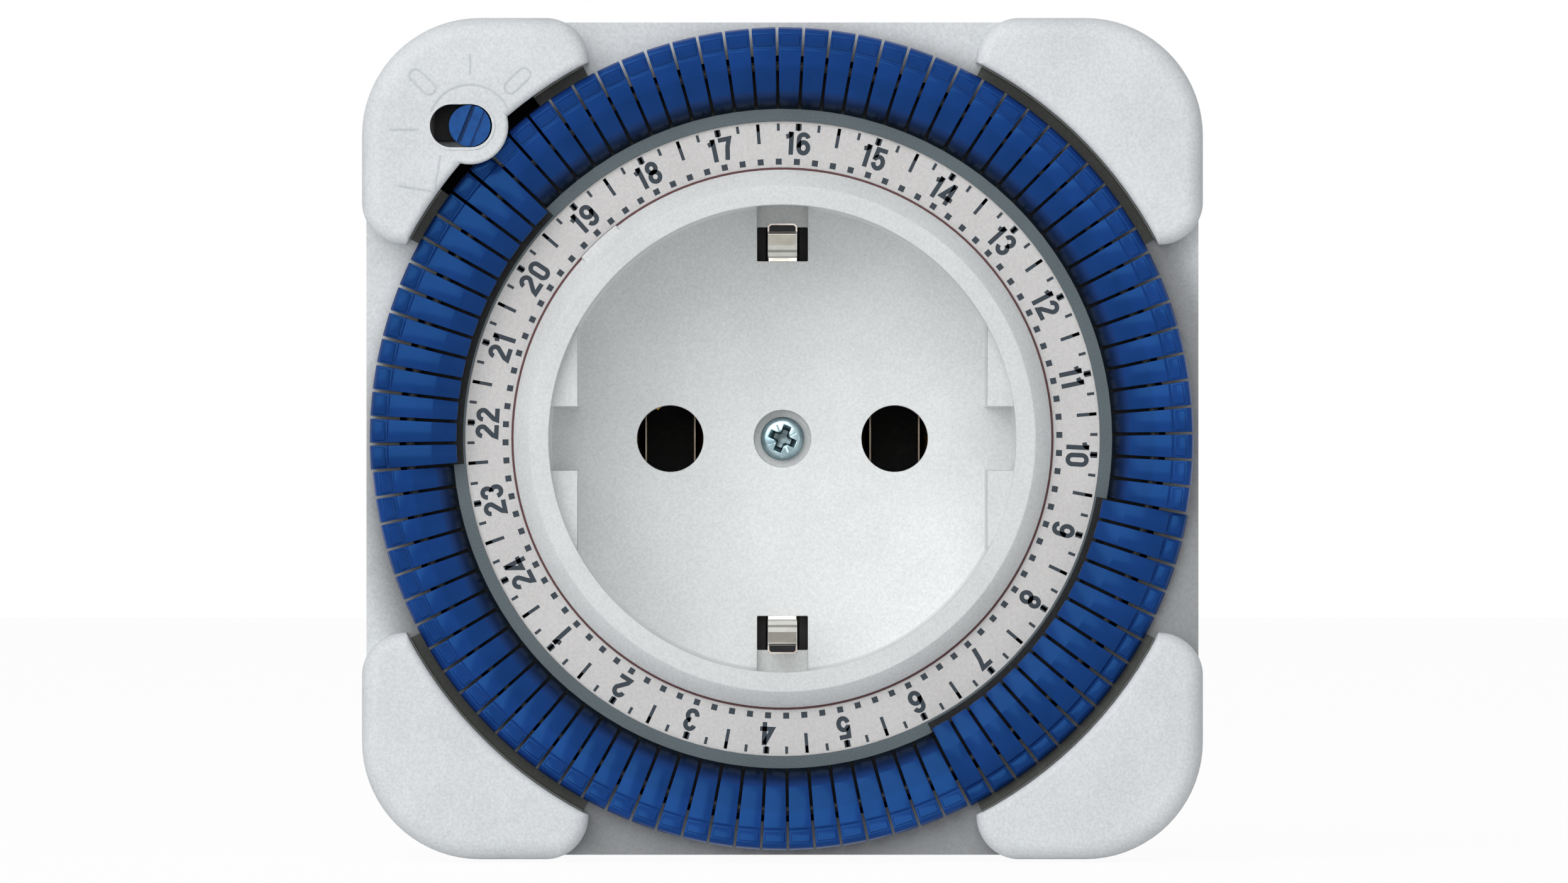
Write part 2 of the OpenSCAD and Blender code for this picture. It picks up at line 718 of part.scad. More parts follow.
// Live strip: from the left pin's root up through the plug body and out to the fixed contact
module live_busbar() color("goldenrod") placed() union() {
    root_at = pin_pitch / 2 * sqrt(0.5);
    slab(live_low_z, live_low_z + strip_t) difference() {
        union() {
            translate([-pin_pitch / 2, 0]) circle(r = 3.4);
            rotate(135) {
                translate([root_at - strap_half, live_y - strap_half]) square([2 * strap_half, root_at]);
                translate([root_at, live_y - strap_half + 0.1])
                    square([live_x - root_at - 0.1, 2 * strap_half - 0.2]);
            }
        }
        translate([-pin_pitch / 2, 0]) circle(r = pin_root_r);
    }
    y1 = live_y - strap_half;
    y2 = live_y + strap_half;
    rotate([0, 0, 135]) {
        block([live_x - strip_t, y1, live_low_z + 0.1], [live_x, y2, live_z + half_t]);
        block([live_x - strip_t, y1, live_z - half_t], [switch_r2, y2, live_z + half_t]);
        block([switch_r2 - strip_t, y1, live_z], [switch_r2, y2, fixed_z]);
        block([switch_r2 - strip_t, -1.3, fixed_z - strip_t], [switch_r2 + 1.4, y2, fixed_z]);
        block([switch_r2 - strip_t, -1.3, fixed_z - strip_t], [follow_r + 1.3, 1.3, fixed_z]);
        translate([follow_r, 0, 0]) tube(1, fixed_z - eps, fixed_z + 0.5);
    }
}

// ---- Switch ----

switch_r1 = follow_r - 9;
switch_r2 = switch_r1 + 2;
fixed_z = inner_z + 8;
leaf_z = fixed_z + 2.2;
leaf_t = 0.3;
follower_z1 = leaf_z + leaf_t + follower_travel + 0.1;
follower_z2 = face_z - 0.2;

module contact_leaf() color("goldenrod") placed() rotate([0, 0, 135]) union() {
    block([switch_r1 - strip_t, -1.3, leaf_z], [switch_r1 + 1.6, out_y + strap_half, leaf_z + leaf_t]);
    block([switch_r1 - strip_t, -1.3, leaf_z], [follow_r + 1.3, 1.3, leaf_z + leaf_t]);
    translate([follow_r, 0, 0]) tube(1, leaf_z - 0.5, leaf_z + eps);
}

base_z = leaf_z + leaf_t + 2.6;
base_half = 7.2;

// Moulded frame that guides the follower, on two legs
module switch_base() color("dimgray") placed() rotate([0, 0, 135]) difference() {
    union() {
        block([follow_r - 4, -base_half, base_z], [follow_r + 4, base_half, base_z + 4]);
        for (y = [-base_half, base_half - 0.9])
            block([follow_r - 4, y, inner_z], [follow_r + 4, y + 0.9, base_z + 4]);
    }
    block([follow_r - 0.9 - play, -0.9 - play, 0], [follow_r + 0.9 + play, 0.9 + play, base_z + 5]);
}

// Slider: knob above, plate in the rails, ramp below
slide_z1 = face_z - face_t - 1.3;
slide_z2 = face_z - face_t - 0.1;
slide_y1 = nose_c - 1.1;
slide_y2 = nose_c + 2.3;
slide_x1 = -nose_c - 3;
slide_x2 = -nose_c + 1.5;
rail_x1 = -inner_w + 0.8;
rail_x2 = slide_x2 - 1.2;
rail_z = slide_z1 - 0.9;
ramp_z = rail_z - 0.2;
ramp_h = follower_travel + 0.4;
ramp_slope = knob_travel / follower_travel;
ramp_x = slide_x1 + 0.8;
arm_z = ramp_z - 0.2;
arm_h = 1.2;
knob_z = pad_z + 0.15;
groove_turn = -22;

module override_slider() color("royalblue") placed() union() {
    block([slide_x1, slide_y1, slide_z1], [slide_x2, slide_y2, slide_z2]);
    translate([-nose_c, nose_c, 0]) {
        tube(1.1, slide_z2 - eps, pad_z - 2.4);
        difference() {
            tube(knob_d / 2, pad_z - 2.5, knob_z);
            // Two grooves for a fingernail
            rotate([0, 0, groove_turn]) {
                block([-0.5, -knob_d, knob_z - 0.7], [-0.16, knob_d, knob_z + 1]);
                block([0.62, -knob_d, knob_z - 0.2], [0.82, knob_d, knob_z + 1]);
            }
        }
    }
    // Ramp that presses the follower's arm
    translate([0, slide_y2 - 0.8, 0]) rotate([90, 0, 0]) linear_extrude(1.8) polygon([
        [ramp_x, slide_z1 + eps], [slide_x2 - 0.4, slide_z1 + eps], [slide_x2 - 0.4, ramp_z - ramp_h],
        [ramp_x + ramp_h * ramp_slope, ramp_z - ramp_h], [ramp_x, ramp_z]]);
}

module switch_follower() color("white") placed() union() {
    rotate([0, 0, 135]) {
        block([follow_r - 0.9, -0.9, follower_z1], [follow_r + 0.9, 0.9, follower_z2 - 0.8]);
        block([follow_r - 0.7, -0.5, follower_z1], [follow_r + 0.5, 0.5, follower_z2]);
    }
    // Arm under the slider's ramp
    block([slide_x1 - 0.8, follow_at[1] - 0.6, arm_z - arm_h], [follow_at[0], slide_y2 - 3, arm_z]);
    block([slide_x1 - 0.8, follow_at[1], arm_z - arm_h],
        [ramp_x + 0.2 * ramp_slope - play, slide_y2 - 0.8, arm_z]);
}

// ---- Earth strap of the plug ----

link_y = 8 - plug_d / 2;

module plug_earth_strap() color("silver") placed() union() {
    for (s = [0, 1]) mirror([0, s, 0]) strip_yz(0, plug_strip_w, strip_t, [
        [0, plug_face_t + 3.6], [plug_d / 2 - 7.5, plug_face_t + 3.6], [plug_d / 2 - 3.6, plug_face_t + 0.6],
        [plug_d / 2 - plug_wall - 0.6, plug_face_t - 0.6], [plug_d / 2 - 0.5, plug_face_t - 0.6],
        [plug_d / 2 - 0.5, plug_depth - 1.5]]);
    // Link up to the socket's earth strap
    block([-1.2, link_y - strip_t / 2, plug_face_t + 3.2], [1.2, link_y + strip_t / 2, cup_z - strip_t]);
}

// ---- Motor and train ----

module at_drive() {
    translate([drive_at[0], drive_at[1], 0]) children();
}

module at_side() {
    translate([side_at[0], side_at[1], 0]) children();
}

module motor_can() color("silver") placed() at_drive() difference() {
    union() {
        difference() {
            tube(motor_r, inner_z, motor_top - 0.8);
            tube(motor_r - 0.8, inner_z + 0.8, motor_top);
        }
        tube(shaft_r + 0.8, inner_z, inner_z + 1.6);
    }
    tube(shaft_r + run_gap, inner_z + 0.4, motor_top);
}

module motor_bobbin() color("ivory") placed() at_drive() union() {
    ring(5, 5.6, inner_z + 0.8, motor_top - 0.8);
    ring(5, motor_r - 0.9, inner_z + 0.8, inner_z + 1.5);
    ring(5, motor_r - 0.9, motor_top - 1.5, motor_top - 0.8);
}

module motor_coil() color("chocolate") placed() at_drive()
    ring(5.6, motor_r - 1.2, inner_z + 1.5, motor_top - 1.5);

module motor_plate() color("silver") placed() at_drive()
    ring(shaft_r + run_gap, motor_r, motor_top - 0.8, motor_top);

turn_rotor = 0;
turn_1 = mesh_turn(side_dir, turn_rotor, pinion_teeth, wheel_teeth);
turn_2 = mesh_turn(side_dir + 180, 0, pinion_teeth, wheel_teeth);
turn_3 = mesh_turn(side_dir, 0, pinion_teeth, wheel_teeth);
turn_4 = mesh_turn(side_dir + 180, 0, pinion_teeth, wheel_teeth);
turn_drive = mesh_turn(drive_dir, 0, dial_teeth, drive_teeth);

module motor_rotor() color("darkslategray") placed() at_drive() union() {
    tube(shaft_r, inner_z + 0.5, level_1 + wheel_t);
    tube(4.6, inner_z + 1.8, motor_top - 1.3);
    slab(level_1 - 0.2, level_1 + wheel_t + 0.1) gear_2d(pinion_teeth, train_module, turn_rotor);
}

module gear_plate() color("goldenrod") placed() difference() {
    union() {
        at_drive() tube(motor_r - 0.6, motor_top, motor_top + plate_t);
        at_side() tube(2.2, motor_top, motor_top + plate_t);
        at_drive() rotate([0, 0, side_dir])
            block([0, -2.2, motor_top], [train_dist, 2.2, motor_top + plate_t]);
    }
    at_drive() tube(shaft_r + run_gap, 0, pad_z);
    at_side() tube(arbor_r, 0, pad_z);
}

module gear_arbors() color("silver") placed() union() {
    at_side() tube(arbor_r, motor_top, stack_top + gap);
    at_drive() tube(arbor_r, level_2 - 0.4, face_z - 0.7);
}

// A wheel at level z with its pinion above it
module compound(z, turn, pinion_h) {
    difference() {
        union() {
            slab(z, z + wheel_t) gear_2d(wheel_teeth, train_module, turn);
            slab(z + wheel_t - eps, z + wheel_t + pinion_h) gear_2d(pinion_teeth, train_module, 0);
        }
        tube(arbor_r + run_gap, 0, pad_z);
    }
}

pinion_h = level_step + 0.1;
module wheel_1() color("white") placed() at_side() compound(level_1, turn_1, pinion_h);
module wheel_2() color("white") placed() at_drive() compound(level_2, turn_2, pinion_h);
module wheel_3() color("white") placed() at_side() compound(level_3, turn_3, pinion_h);

module drive_wheel() color("white") placed() at_drive() difference() {
    slab(level_4, stack_top) gear_2d(wheel_teeth, train_module, turn_4);
    tube(arbor_r + run_gap, 0, pad_z);
}

module clutch_spring() color("silver") placed() at_drive() difference() {
    tube(2.6, stack_top + 0.15, stack_top + clutch_h - 0.05);
    translate([0, 0, stack_top]) cylinder(r1 = 2.5, r2 = 1.2, h = clutch_h - 0.15);
    tube(arbor_r + 0.3, 0, pad_z);
}

module drive_pinion() color("white") placed() at_drive() difference() {
    union() {
        tube(3.4, stack_top + clutch_h, drive_z);
        slab(drive_z - eps, flange_in_z - 0.3) gear_2d(drive_teeth, dial_module, turn_drive);
    }
    tube(arbor_r + run_gap, 0, pad_z);
}

// A tube of radius r swept along the points p, with n sides
function along(p, k) =
    unit((k > 0 ? unit(p[k] - p[k - 1]) : [0, 0, 0])
        + (k < len(p) - 1 ? unit(p[k + 1] - p[k]) : [0, 0, 0]));
module wire(p, r, n = 10) {
    last = len(p) - 1;
    points = [for (k = [0 : last])
        let (t = along(p, k), u = unit(cross(t, [0, 0, 1])), v = cross(u, t))
        for (i = [0 : n - 1]) p[k] + r * (cos(360 * i / n) * u + sin(360 * i / n) * v)];
    polyhedron(points, concat(
        [[for (i = [n - 1 : -1 : 0]) i]],
        [for (k = [0 : last - 1], i = [0 : n - 1])
            [k * n + i, k * n + (i + 1) % n, (k + 1) * n + (i + 1) % n, (k + 1) * n + i]],
        [[for (i = [0 : n - 1]) last * n + i]]), convexity = 6);
}

// Leads from the motor to the two mains strips
lead_r = 0.55;
lead_z = inner_z + 4.5;
lead_path_r = (sleeve_r2 + inner_w) / 2;
function polar(r, a, z) = [r * cos(a), r * sin(a), z];
function at_motor(a) = concat(drive_at, [0]) + polar(motor_r + lead_r + 0.1, a, inner_z + 7);
live_end = (switch_r2 - half_t) * [-sqrt(0.5), sqrt(0.5)]
    - (live_y + strap_half + lead_r + 0.05) * [sqrt(0.5), sqrt(0.5)];
live_lead = [for (a = [275, 243, 208, 176]) polar(lead_path_r, a, lead_z)];
neutral_lead = [polar(sleeve_r2 + 8.1, -17.2, lead_z + 1), polar(sleeve_r2 + 4.4, -6.5, lead_z + 0.5)];

module motor_leads() color("firebrick") placed() union() {
    wire(concat([at_motor(170)], live_lead, [concat(live_end, [lead_z])]), lead_r);
    wire(concat([at_motor(62)], neutral_lead, [[sleeve_r2 + lead_r + 0.1, 2, lead_z]]), lead_r);
}

// ---- Dial ----

module dial_ring() color("slategray") placed() union() {
    rotate_extrude() polygon([
        [dial_bore_r, flange_in_z], [web_r, flange_in_z],
        [web_r, pivot_z], [web_r - web_t, pivot_z],
        [web_r - web_t, flange_in_z + 1.2], [rim_r, flange_in_z + 1.2],
        [rim_r, ring_top], [scale_r2, ring_top], [scale_r2, scale_z - scale_t], [scale_r1, scale_z - scale_t],
        [scale_r1, scale_z - 0.1], [dial_bore_r, scale_z - 0.1]]);
    rotate_extrude() translate([pivot_r, pivot_z]) circle(r = bead_r, $fn = 24);
    difference() {
        slab(skirt_z, flange_in_z + eps) gear_2d(dial_teeth, dial_module, 0);
        tube(dial_pitch_r - 1.8, 0, pad_z);
    }
}

module scale_ring() color("gainsboro") placed() ring(scale_r1, scale_r2, scale_z - scale_t, scale_z);

// Section of a tappet about its pivot: x outwards, y forwards
tip_in = rim_r - pivot_r - 0.36;
tip_out = tappet_r - pivot_r;
pocket_r = bead_r + 0.13;
lip_h = 0.8;
slot_gap = 0.08;
// Inner side of the slot at depth h: the web's face at full throw, and the gap
function slot_x(h) = (web_t / 2 + 0.1) / cos(tappet_throw) + h * tan(tappet_throw);

module tappet_2d() {
    difference() {
        polygon([
            [tip_in, -0.5], [tip_in, -0.05], [-1.8, 0.9], [0.6, 0.95],
            [tip_out - 1.55, 0.62], [tip_out - 1.45, 0.45],
            [tip_out - 0.24, 0.42], [tip_out, 0.05], [tip_out, -0.4], [tip_out - 0.15, -0.5], [0.75, -0.55],
            [0.75, -lip_h], [-1.2, -lip_h], [-1.25, -0.5]]);
        circle(r = pocket_r, $fn = 24);
        // Slot that lets the web swing
        polygon([[web_t / 2 + slot_gap, 0], [web_t / 2 + slot_gap, -1], [-slot_x(1), -1], [-slot_x(0), 0]]);
    }
}

// One tappet at clockwise angle a, in its on position
module tappet(a) {
    r1 = pivot_r + tip_in - 1;
    r2 = tappet_r + 1;
    half = 180 / tappet_count;
    rotate([0, 0, -a]) intersection() {
        translate([-2, 0, 0]) rotate([90, 0, 90]) linear_extrude(4)
            translate([pivot_r, pivot_z]) tappet_2d();
        slab(pivot_z - 2, pivot_z + 2) polygon([
            [tappet_gap / 2 - r1 * tan(half), r1], [r1 * tan(half) - tappet_gap / 2, r1],
            [r2 * tan(half) - tappet_gap / 2, r2], [tappet_gap / 2 - r2 * tan(half), r2]]);
    }
}

// All tappets of a group, tipped together when the group is switched off
module tappet_group(g) {
    mid = hour_angle((g[0] + g[1]) / 2);
    hinge = [pivot_r * sin(mid), pivot_r * cos(mid), pivot_z];
    color("royalblue") placed()
        translate(hinge)
            rotate(a = is_on(g[0]) ? 0 : tappet_throw, v = [cos(mid), -sin(mid), 0]) translate(-hinge)
            for (k = [0 : round((g[1] - g[0]) / step_h) - 1])
                tappet(hour_angle(g[0] + (k + 0.5) * step_h));
}

rear_housing();
front_cover();
socket_cup();
centre_screw();
plug_pin_left();
plug_pin_right();
plug_earth_strap();
socket_earth_strap();
socket_contact_left();
socket_contact_right();
contact_carrier();
housing_screws();
motor_can();
motor_bobbin();
motor_coil();
motor_plate();
motor_rotor();
gear_plate();
gear_arbors();
wheel_1();
wheel_2();
wheel_3();
drive_wheel();
clutch_spring();
drive_pinion();
dial_ring();
scale_ring();
override_slider();
switch_follower();
switch_base();
contact_leaf();
live_busbar();
motor_leads();
for (g = groups) tappet_group(g);
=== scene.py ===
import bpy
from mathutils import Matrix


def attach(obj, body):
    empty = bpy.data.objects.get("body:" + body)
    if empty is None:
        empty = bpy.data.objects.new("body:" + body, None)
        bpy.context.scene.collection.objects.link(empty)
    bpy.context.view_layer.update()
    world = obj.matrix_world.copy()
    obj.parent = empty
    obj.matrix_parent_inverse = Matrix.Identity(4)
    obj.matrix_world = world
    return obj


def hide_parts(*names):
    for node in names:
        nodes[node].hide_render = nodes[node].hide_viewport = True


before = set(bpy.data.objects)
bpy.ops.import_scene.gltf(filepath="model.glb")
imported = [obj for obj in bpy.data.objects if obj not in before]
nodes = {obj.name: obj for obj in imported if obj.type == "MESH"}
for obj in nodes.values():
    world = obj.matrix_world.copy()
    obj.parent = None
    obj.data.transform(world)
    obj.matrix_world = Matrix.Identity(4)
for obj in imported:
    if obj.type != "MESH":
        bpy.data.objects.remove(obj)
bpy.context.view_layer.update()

import math

import bmesh
import bpy
from mathutils import Matrix, Vector

mm = 0.001


# The timer is measured looking at its dial: x right, y up, z forwards, in mm
def place(x, y, z):
    return Vector((x, -z, y)) * mm


def onDial(radius, clockwise, z):
    a = math.radians(clockwise)
    return place(radius * math.sin(a), radius * math.cos(a), z)


def screenColour(red, green, blue):
    def linear(v):
        v = v / 255
        return v / 12.92 if v <= 0.04045 else ((v + 0.055) / 1.055) ** 2.4
    return (linear(red), linear(green), linear(blue), 1)


# Camera, light and floor
cameraPlan = {"widthAtSocketFloor": 132.66, "socketFloor": 32.5, "distance": 1200, "right": 0.13, "up": -0.24,
              "sensor": 36, "nearest": 0.01, "farthest": 20}


def makeCamera(plan):
    data = bpy.data.cameras.new("timerCamera")
    data.sensor_fit = "HORIZONTAL"
    data.sensor_width = plan["sensor"]
    data.lens = plan["sensor"] * plan["distance"] / plan["widthAtSocketFloor"]
    data.clip_start = plan["nearest"]
    data.clip_end = plan["farthest"]
    camera = bpy.data.objects.new("timerCamera", data)
    camera.location = place(plan["right"], plan["up"], plan["socketFloor"] + plan["distance"])
    camera.rotation_euler = (math.radians(90), 0, 0)
    bpy.context.collection.objects.link(camera)
    bpy.context.scene.camera = camera


lightPlan = {"worldLow": 0.12, "worldHigh": 0.62, "worldTowards": (-0.45, -0.45, 0.77), "worldFrom": -0.6,
             "worldTint": (0.97, 0.985, 1, 1), "aimAt": (0, 0, 40),
             "keyLamp": {"at": (-480, 630, 1350), "power": 20.5, "size": 1.75},
             "fillLamp": {"at": (900, -300, 900), "power": 1.2, "size": 0.9}}


def makeLamp(name, plan):
    data = bpy.data.lights.new(name, "AREA")
    data.energy = plan[name]["power"]
    data.size = plan[name]["size"]
    lamp = bpy.data.objects.new(name, data)
    lamp.location = place(*plan[name]["at"])
    lamp.rotation_euler = (place(*plan["aimAt"]) - lamp.location).to_track_quat("-Z", "Y").to_euler()
    bpy.context.collection.objects.link(lamp)


def whiteForRays(tree):
    # 1 for what the camera sees directly, in metal or through glass
    rays = tree.nodes.new("ShaderNodeLightPath").outputs
    seen = rays["Is Camera Ray"]
    for kind in ("Is Glossy Ray", "Is Transmission Ray"):
        either = tree.nodes.new("ShaderNodeMath")
        either.operation = "MAXIMUM"
        tree.links.new(seen, either.inputs[0])
        tree.links.new(rays[kind], either.inputs[1])
        seen = either.outputs[0]
    return seen


def makeWorld(plan):
    world = bpy.data.worlds.new("paleRoom")
    world.use_nodes = True
    tree = world.node_tree
    tree.nodes.clear()
    shown = tree.nodes.new("ShaderNodeBackground")
    shown.inputs["Color"].default_value = (1, 1, 1, 1)
    shown.inputs["Strength"].default_value = 1
    lighting = tree.nodes.new("ShaderNodeBackground")
    lighting.inputs["Color"].default_value = plan["worldTint"]
    # Brighter from the upper left, like a room with one large window
    direction = tree.nodes.new("ShaderNodeTexCoord").outputs["Generated"]
    facing = tree.nodes.new("ShaderNodeVectorMath")
    facing.operation = "DOT_PRODUCT"
    facing.inputs[1].default_value = plan["worldTowards"]
    tree.links.new(direction, facing.inputs[0])
    level = tree.nodes.new("ShaderNodeMapRange")
    level.inputs["From Min"].default_value = plan["worldFrom"]
    level.inputs["To Min"].default_value = plan["worldLow"]
    level.inputs["To Max"].default_value = plan["worldHigh"]
    tree.links.new(facing.outputs["Value"], level.inputs["Value"])
    tree.links.new(level.outputs["Result"], lighting.inputs["Strength"])
    mix = tree.nodes.new("ShaderNodeMixShader")
    out = tree.nodes.new("ShaderNodeOutputWorld")
    tree.links.new(whiteForRays(tree), mix.inputs[0])
    tree.links.new(lighting.outputs[0], mix.inputs[1])
    tree.links.new(shown.outputs[0], mix.inputs[2])
    tree.links.new(mix.outputs[0], out.inputs[0])
    bpy.context.scene.world = world


# level in mm, size in metres
floorPlan = {"level": -35.3, "size": 3.2, "shadowShare": 0.045, "white": 1, "grey": (0.95, 0.95, 0.95, 1)}


def makeFloor(plan):
    mesh = bpy.data.meshes.new("paleFloor")
    half = plan["size"] / 2
    z = plan["level"] * mm
    corners = [(x * half, y * half, z) for x, y in ((-1, -1), (1, -1), (1, 1), (-1, 1))]
    mesh.from_pydata(corners, [], [(0, 1, 2, 3)])
    floor = bpy.data.objects.new("paleFloor", mesh)
    bpy.context.collection.objects.link(floor)
    material = bpy.data.materials.new("paleFloor")
    material.use_nodes = True
    tree = material.node_tree
    tree.nodes.clear()
    lit = tree.nodes.new("ShaderNodeBsdfDiffuse")
    lit.inputs["Color"].default_value = plan["grey"]
    white = tree.nodes.new("ShaderNodeEmission")
    white.inputs["Strength"].default_value = plan["white"]
    share = tree.nodes.new("ShaderNodeMath")
    share.operation = "MULTIPLY"
    share.inputs[1].default_value = 1 - plan["shadowShare"]
    mix = tree.nodes.new("ShaderNodeMixShader")
    out = tree.nodes.new("ShaderNodeOutputMaterial")
    tree.links.new(whiteForRays(tree), share.inputs[0])
    tree.links.new(share.outputs[0], mix.inputs[0])
    tree.links.new(lit.outputs[0], mix.inputs[1])
    tree.links.new(white.outputs[0], mix.inputs[2])
    tree.links.new(mix.outputs[0], out.inputs[0])
    mesh.materials.append(material)


bpy.context.scene.view_settings.view_transform = "Standard"
makeCamera(cameraPlan)
makeWorld(lightPlan)
for lampName in ("keyLamp", "fillLamp"):
    makeLamp(lampName, lightPlan)
makeFloor(floorPlan)
print("camera, light and floor are ready")


# Finishes
def newFinish(name):
    material = bpy.data.materials.new(name)
    material.use_nodes = True
    tree = material.node_tree
    return material, tree, tree.nodes["Principled BSDF"]


def noiseOn(tree, coordinates, size, detail=2.0):
    # size is that of one grain, in mm
    noise = tree.nodes.new("ShaderNodeTexNoise")
    noise.inputs["Scale"].default_value = 1 / (size * mm)
    noise.inputs["Detail"].default_value = detail
    tree.links.new(coordinates, noise.inputs["Vector"])
    return noise.outputs["Fac"]


def spread(tree, value, low, high):
    # Noise mostly lies between 0.3 and 0.7
    span = tree.nodes.new("ShaderNodeMapRange")
    span.inputs["From Min"].default_value = 0.3
    span.inputs["From Max"].default_value = 0.7
    span.inputs["To Min"].default_value = low
    span.inputs["To Max"].default_value = high
    tree.links.new(value, span.inputs["Value"])
    return span.outputs["Result"]


def blendColours(tree, factor, first, second):
    mix = tree.nodes.new("ShaderNodeMix")
    mix.data_type = "RGBA"
    mix.inputs[6].default_value = first
    mix.inputs[7].default_value = second
    tree.links.new(factor, mix.inputs[0])
    return mix.outputs[2]


def addBump(tree, shader, heights):
    # heights is a list of (value, depth in mm), from coarse to fine
    normal = None
    for value, depth in heights:
        bump = tree.nodes.new("ShaderNodeBump")
        bump.inputs["Distance"].default_value = depth * mm
        bump.inputs["Strength"].default_value = 1
        tree.links.new(value, bump.inputs["Height"])
        if normal:
            tree.links.new(normal, bump.inputs["Normal"])
        normal = bump.outputs["Normal"]
    tree.links.new(normal, shader.inputs["Normal"])


def timesLevel(tree, tone, level):
    product = tree.nodes.new("ShaderNodeMix")
    product.data_type = "RGBA"
    product.blend_type = "MULTIPLY"
    product.inputs[0].default_value = 1
    tree.links.new(tone, product.inputs[6])
    tree.links.new(level, product.inputs[7])
    return product.outputs[2]


def smoothSpan(tree, value, start, end, low, high):
    span = tree.nodes.new("ShaderNodeMapRange")
    span.interpolation_type = "SMOOTHSTEP"
    span.inputs["From Min"].default_value = start
    span.inputs["From Max"].default_value = end
    span.inputs["To Min"].default_value = low
    span.inputs["To Max"].default_value = high
    tree.links.new(value, span.inputs["Value"])
    return span.outputs["Result"]


def levelAtDepth(tree, where, tone, stops):
    # Multiplies a colour by a level that depends on the depth y, given as (y in mm, level): painted light and
    # shade by depth
    split = tree.nodes.new("ShaderNodeSeparateXYZ")
    tree.links.new(where, split.inputs[0])
    first, last = stops[0][0], stops[-1][0]
    along = tree.nodes.new("ShaderNodeMapRange")
    along.inputs["From Min"].default_value = first * mm
    along.inputs["From Max"].default_value = last * mm
    tree.links.new(split.outputs["Y"], along.inputs["Value"])
    ramp = tree.nodes.new("ShaderNodeValToRGB")
    while len(ramp.color_ramp.elements) < len(stops):
        ramp.color_ramp.elements.new(0.5)
    for element, (y, level) in zip(ramp.color_ramp.elements, stops):
        element.position = (y - first) / (last - first)
        element.color = (level, level, level, 1)
    tree.links.new(along.outputs["Result"], ramp.inputs["Fac"])
    return timesLevel(tree, tone, ramp.outputs["Color"])


# Painted shade: a level that darkens a colour by its distance from a middle point, between two depths; it
# paints the dial's shadow on the flat face below and to the right of the dial, and the shade on the dial
# under the tappets
def besideDial(tree, where, plan):
    split = tree.nodes.new("ShaderNodeSeparateXYZ")
    tree.links.new(where, split.inputs[0])
    flat = tree.nodes.new("ShaderNodeCombineXYZ")
    tree.links.new(split.outputs["X"], flat.inputs["X"])
    tree.links.new(split.outputs["Z"], flat.inputs["Z"])
    away = tree.nodes.new("ShaderNodeVectorMath")
    away.operation = "DISTANCE"
    away.inputs[1].default_value = (plan["middle"][0] * mm, 0, plan["middle"][1] * mm)
    tree.links.new(flat.outputs[0], away.inputs[0])
    near = smoothSpan(tree, away.outputs["Value"], plan["dark"] * mm, plan["clear"] * mm, plan["depth"], 0)
    front = smoothSpan(tree, split.outputs["Y"], -plan["faceTop"] * mm, -plan["face"] * mm, 0, 1)
    backEdge = plan["back"] + 0.4  # a soft limit towards the back
    behind = smoothSpan(tree, split.outputs["Y"], -plan["back"] * mm, -backEdge * mm, 0, 1)
    for part in (front, behind):
        both = tree.nodes.new("ShaderNodeMath")
        both.operation = "MULTIPLY"
        tree.links.new(near, both.inputs[0])
        tree.links.new(part, both.inputs[1])
        near = both.outputs[0]
    level = tree.nodes.new("ShaderNodeMath")
    level.operation = "SUBTRACT"
    level.inputs[0].default_value = 1
    tree.links.new(near, level.inputs[1])
    return level.outputs[0]


# Spark-eroded matt plastic: speckled tone and a fine pebbled surface
def mattPlastic(name, low, high, roughness=(0.5, 0.66), grain=0.22, depth=0.012, cloud=6.0, cloudShare=0.3,
                shade=None, fade=None):
    material, tree, shader = newFinish(name)
    where = tree.nodes.new("ShaderNodeTexCoord").outputs["Object"]
    speck = noiseOn(tree, where, grain, 3)
    broad = noiseOn(tree, where, cloud, 2)
    both = tree.nodes.new("ShaderNodeMath")
    both.operation = "MULTIPLY_ADD"
    both.inputs[1].default_value = cloudShare
    tree.links.new(broad, both.inputs[0])
    share = tree.nodes.new("ShaderNodeMath")
    share.operation = "MULTIPLY"
    share.inputs[1].default_value = 1 - cloudShare
    tree.links.new(speck, share.inputs[0])
    tree.links.new(share.outputs[0], both.inputs[2])
    tone = blendColours(tree, spread(tree, both.outputs[0], 0, 1), screenColour(*low), screenColour(*high))
    # Painted light and shade: shade and fade multiply the tone by levels
    if shade:
        tone = timesLevel(tree, tone, besideDial(tree, where, shade))
    if fade:
        tone = levelAtDepth(tree, where, tone, fade)
    tree.links.new(tone, shader.inputs["Base Color"])
    tree.links.new(spread(tree, speck, *roughness), shader.inputs["Roughness"])
    shader.inputs["Specular IOR Level"].default_value = 0.35
    addBump(tree, shader, [(noiseOn(tree, where, grain * 2.4, 2), depth * 1.5), (speck, depth)])
    return material


# Polished nylon or acetal with a faint flow pattern
def glossPlastic(name, low, high, roughness=(0.26, 0.36), cloud=1.2, depth=0.004, shine=0.4,
                 fade=None, tint=(1, 1, 1)):
    material, tree, shader = newFinish(name)
    where = tree.nodes.new("ShaderNodeTexCoord").outputs["Object"]
    flow = noiseOn(tree, where, cloud, 3)
    fine = noiseOn(tree, where, 0.12, 2)
    tone = blendColours(tree, spread(tree, flow, 0, 1), screenColour(*low), screenColour(*high))
    if fade:
        tone = levelAtDepth(tree, where, tone, fade)
    tree.links.new(tone, shader.inputs["Base Color"])
    tree.links.new(spread(tree, fine, *roughness), shader.inputs["Roughness"])
    shader.inputs["Specular IOR Level"].default_value = shine
    shader.inputs["Specular Tint"].default_value = (*tint, 1)
    addBump(tree, shader, [(flow, depth * 2), (fine, depth)])
    return material


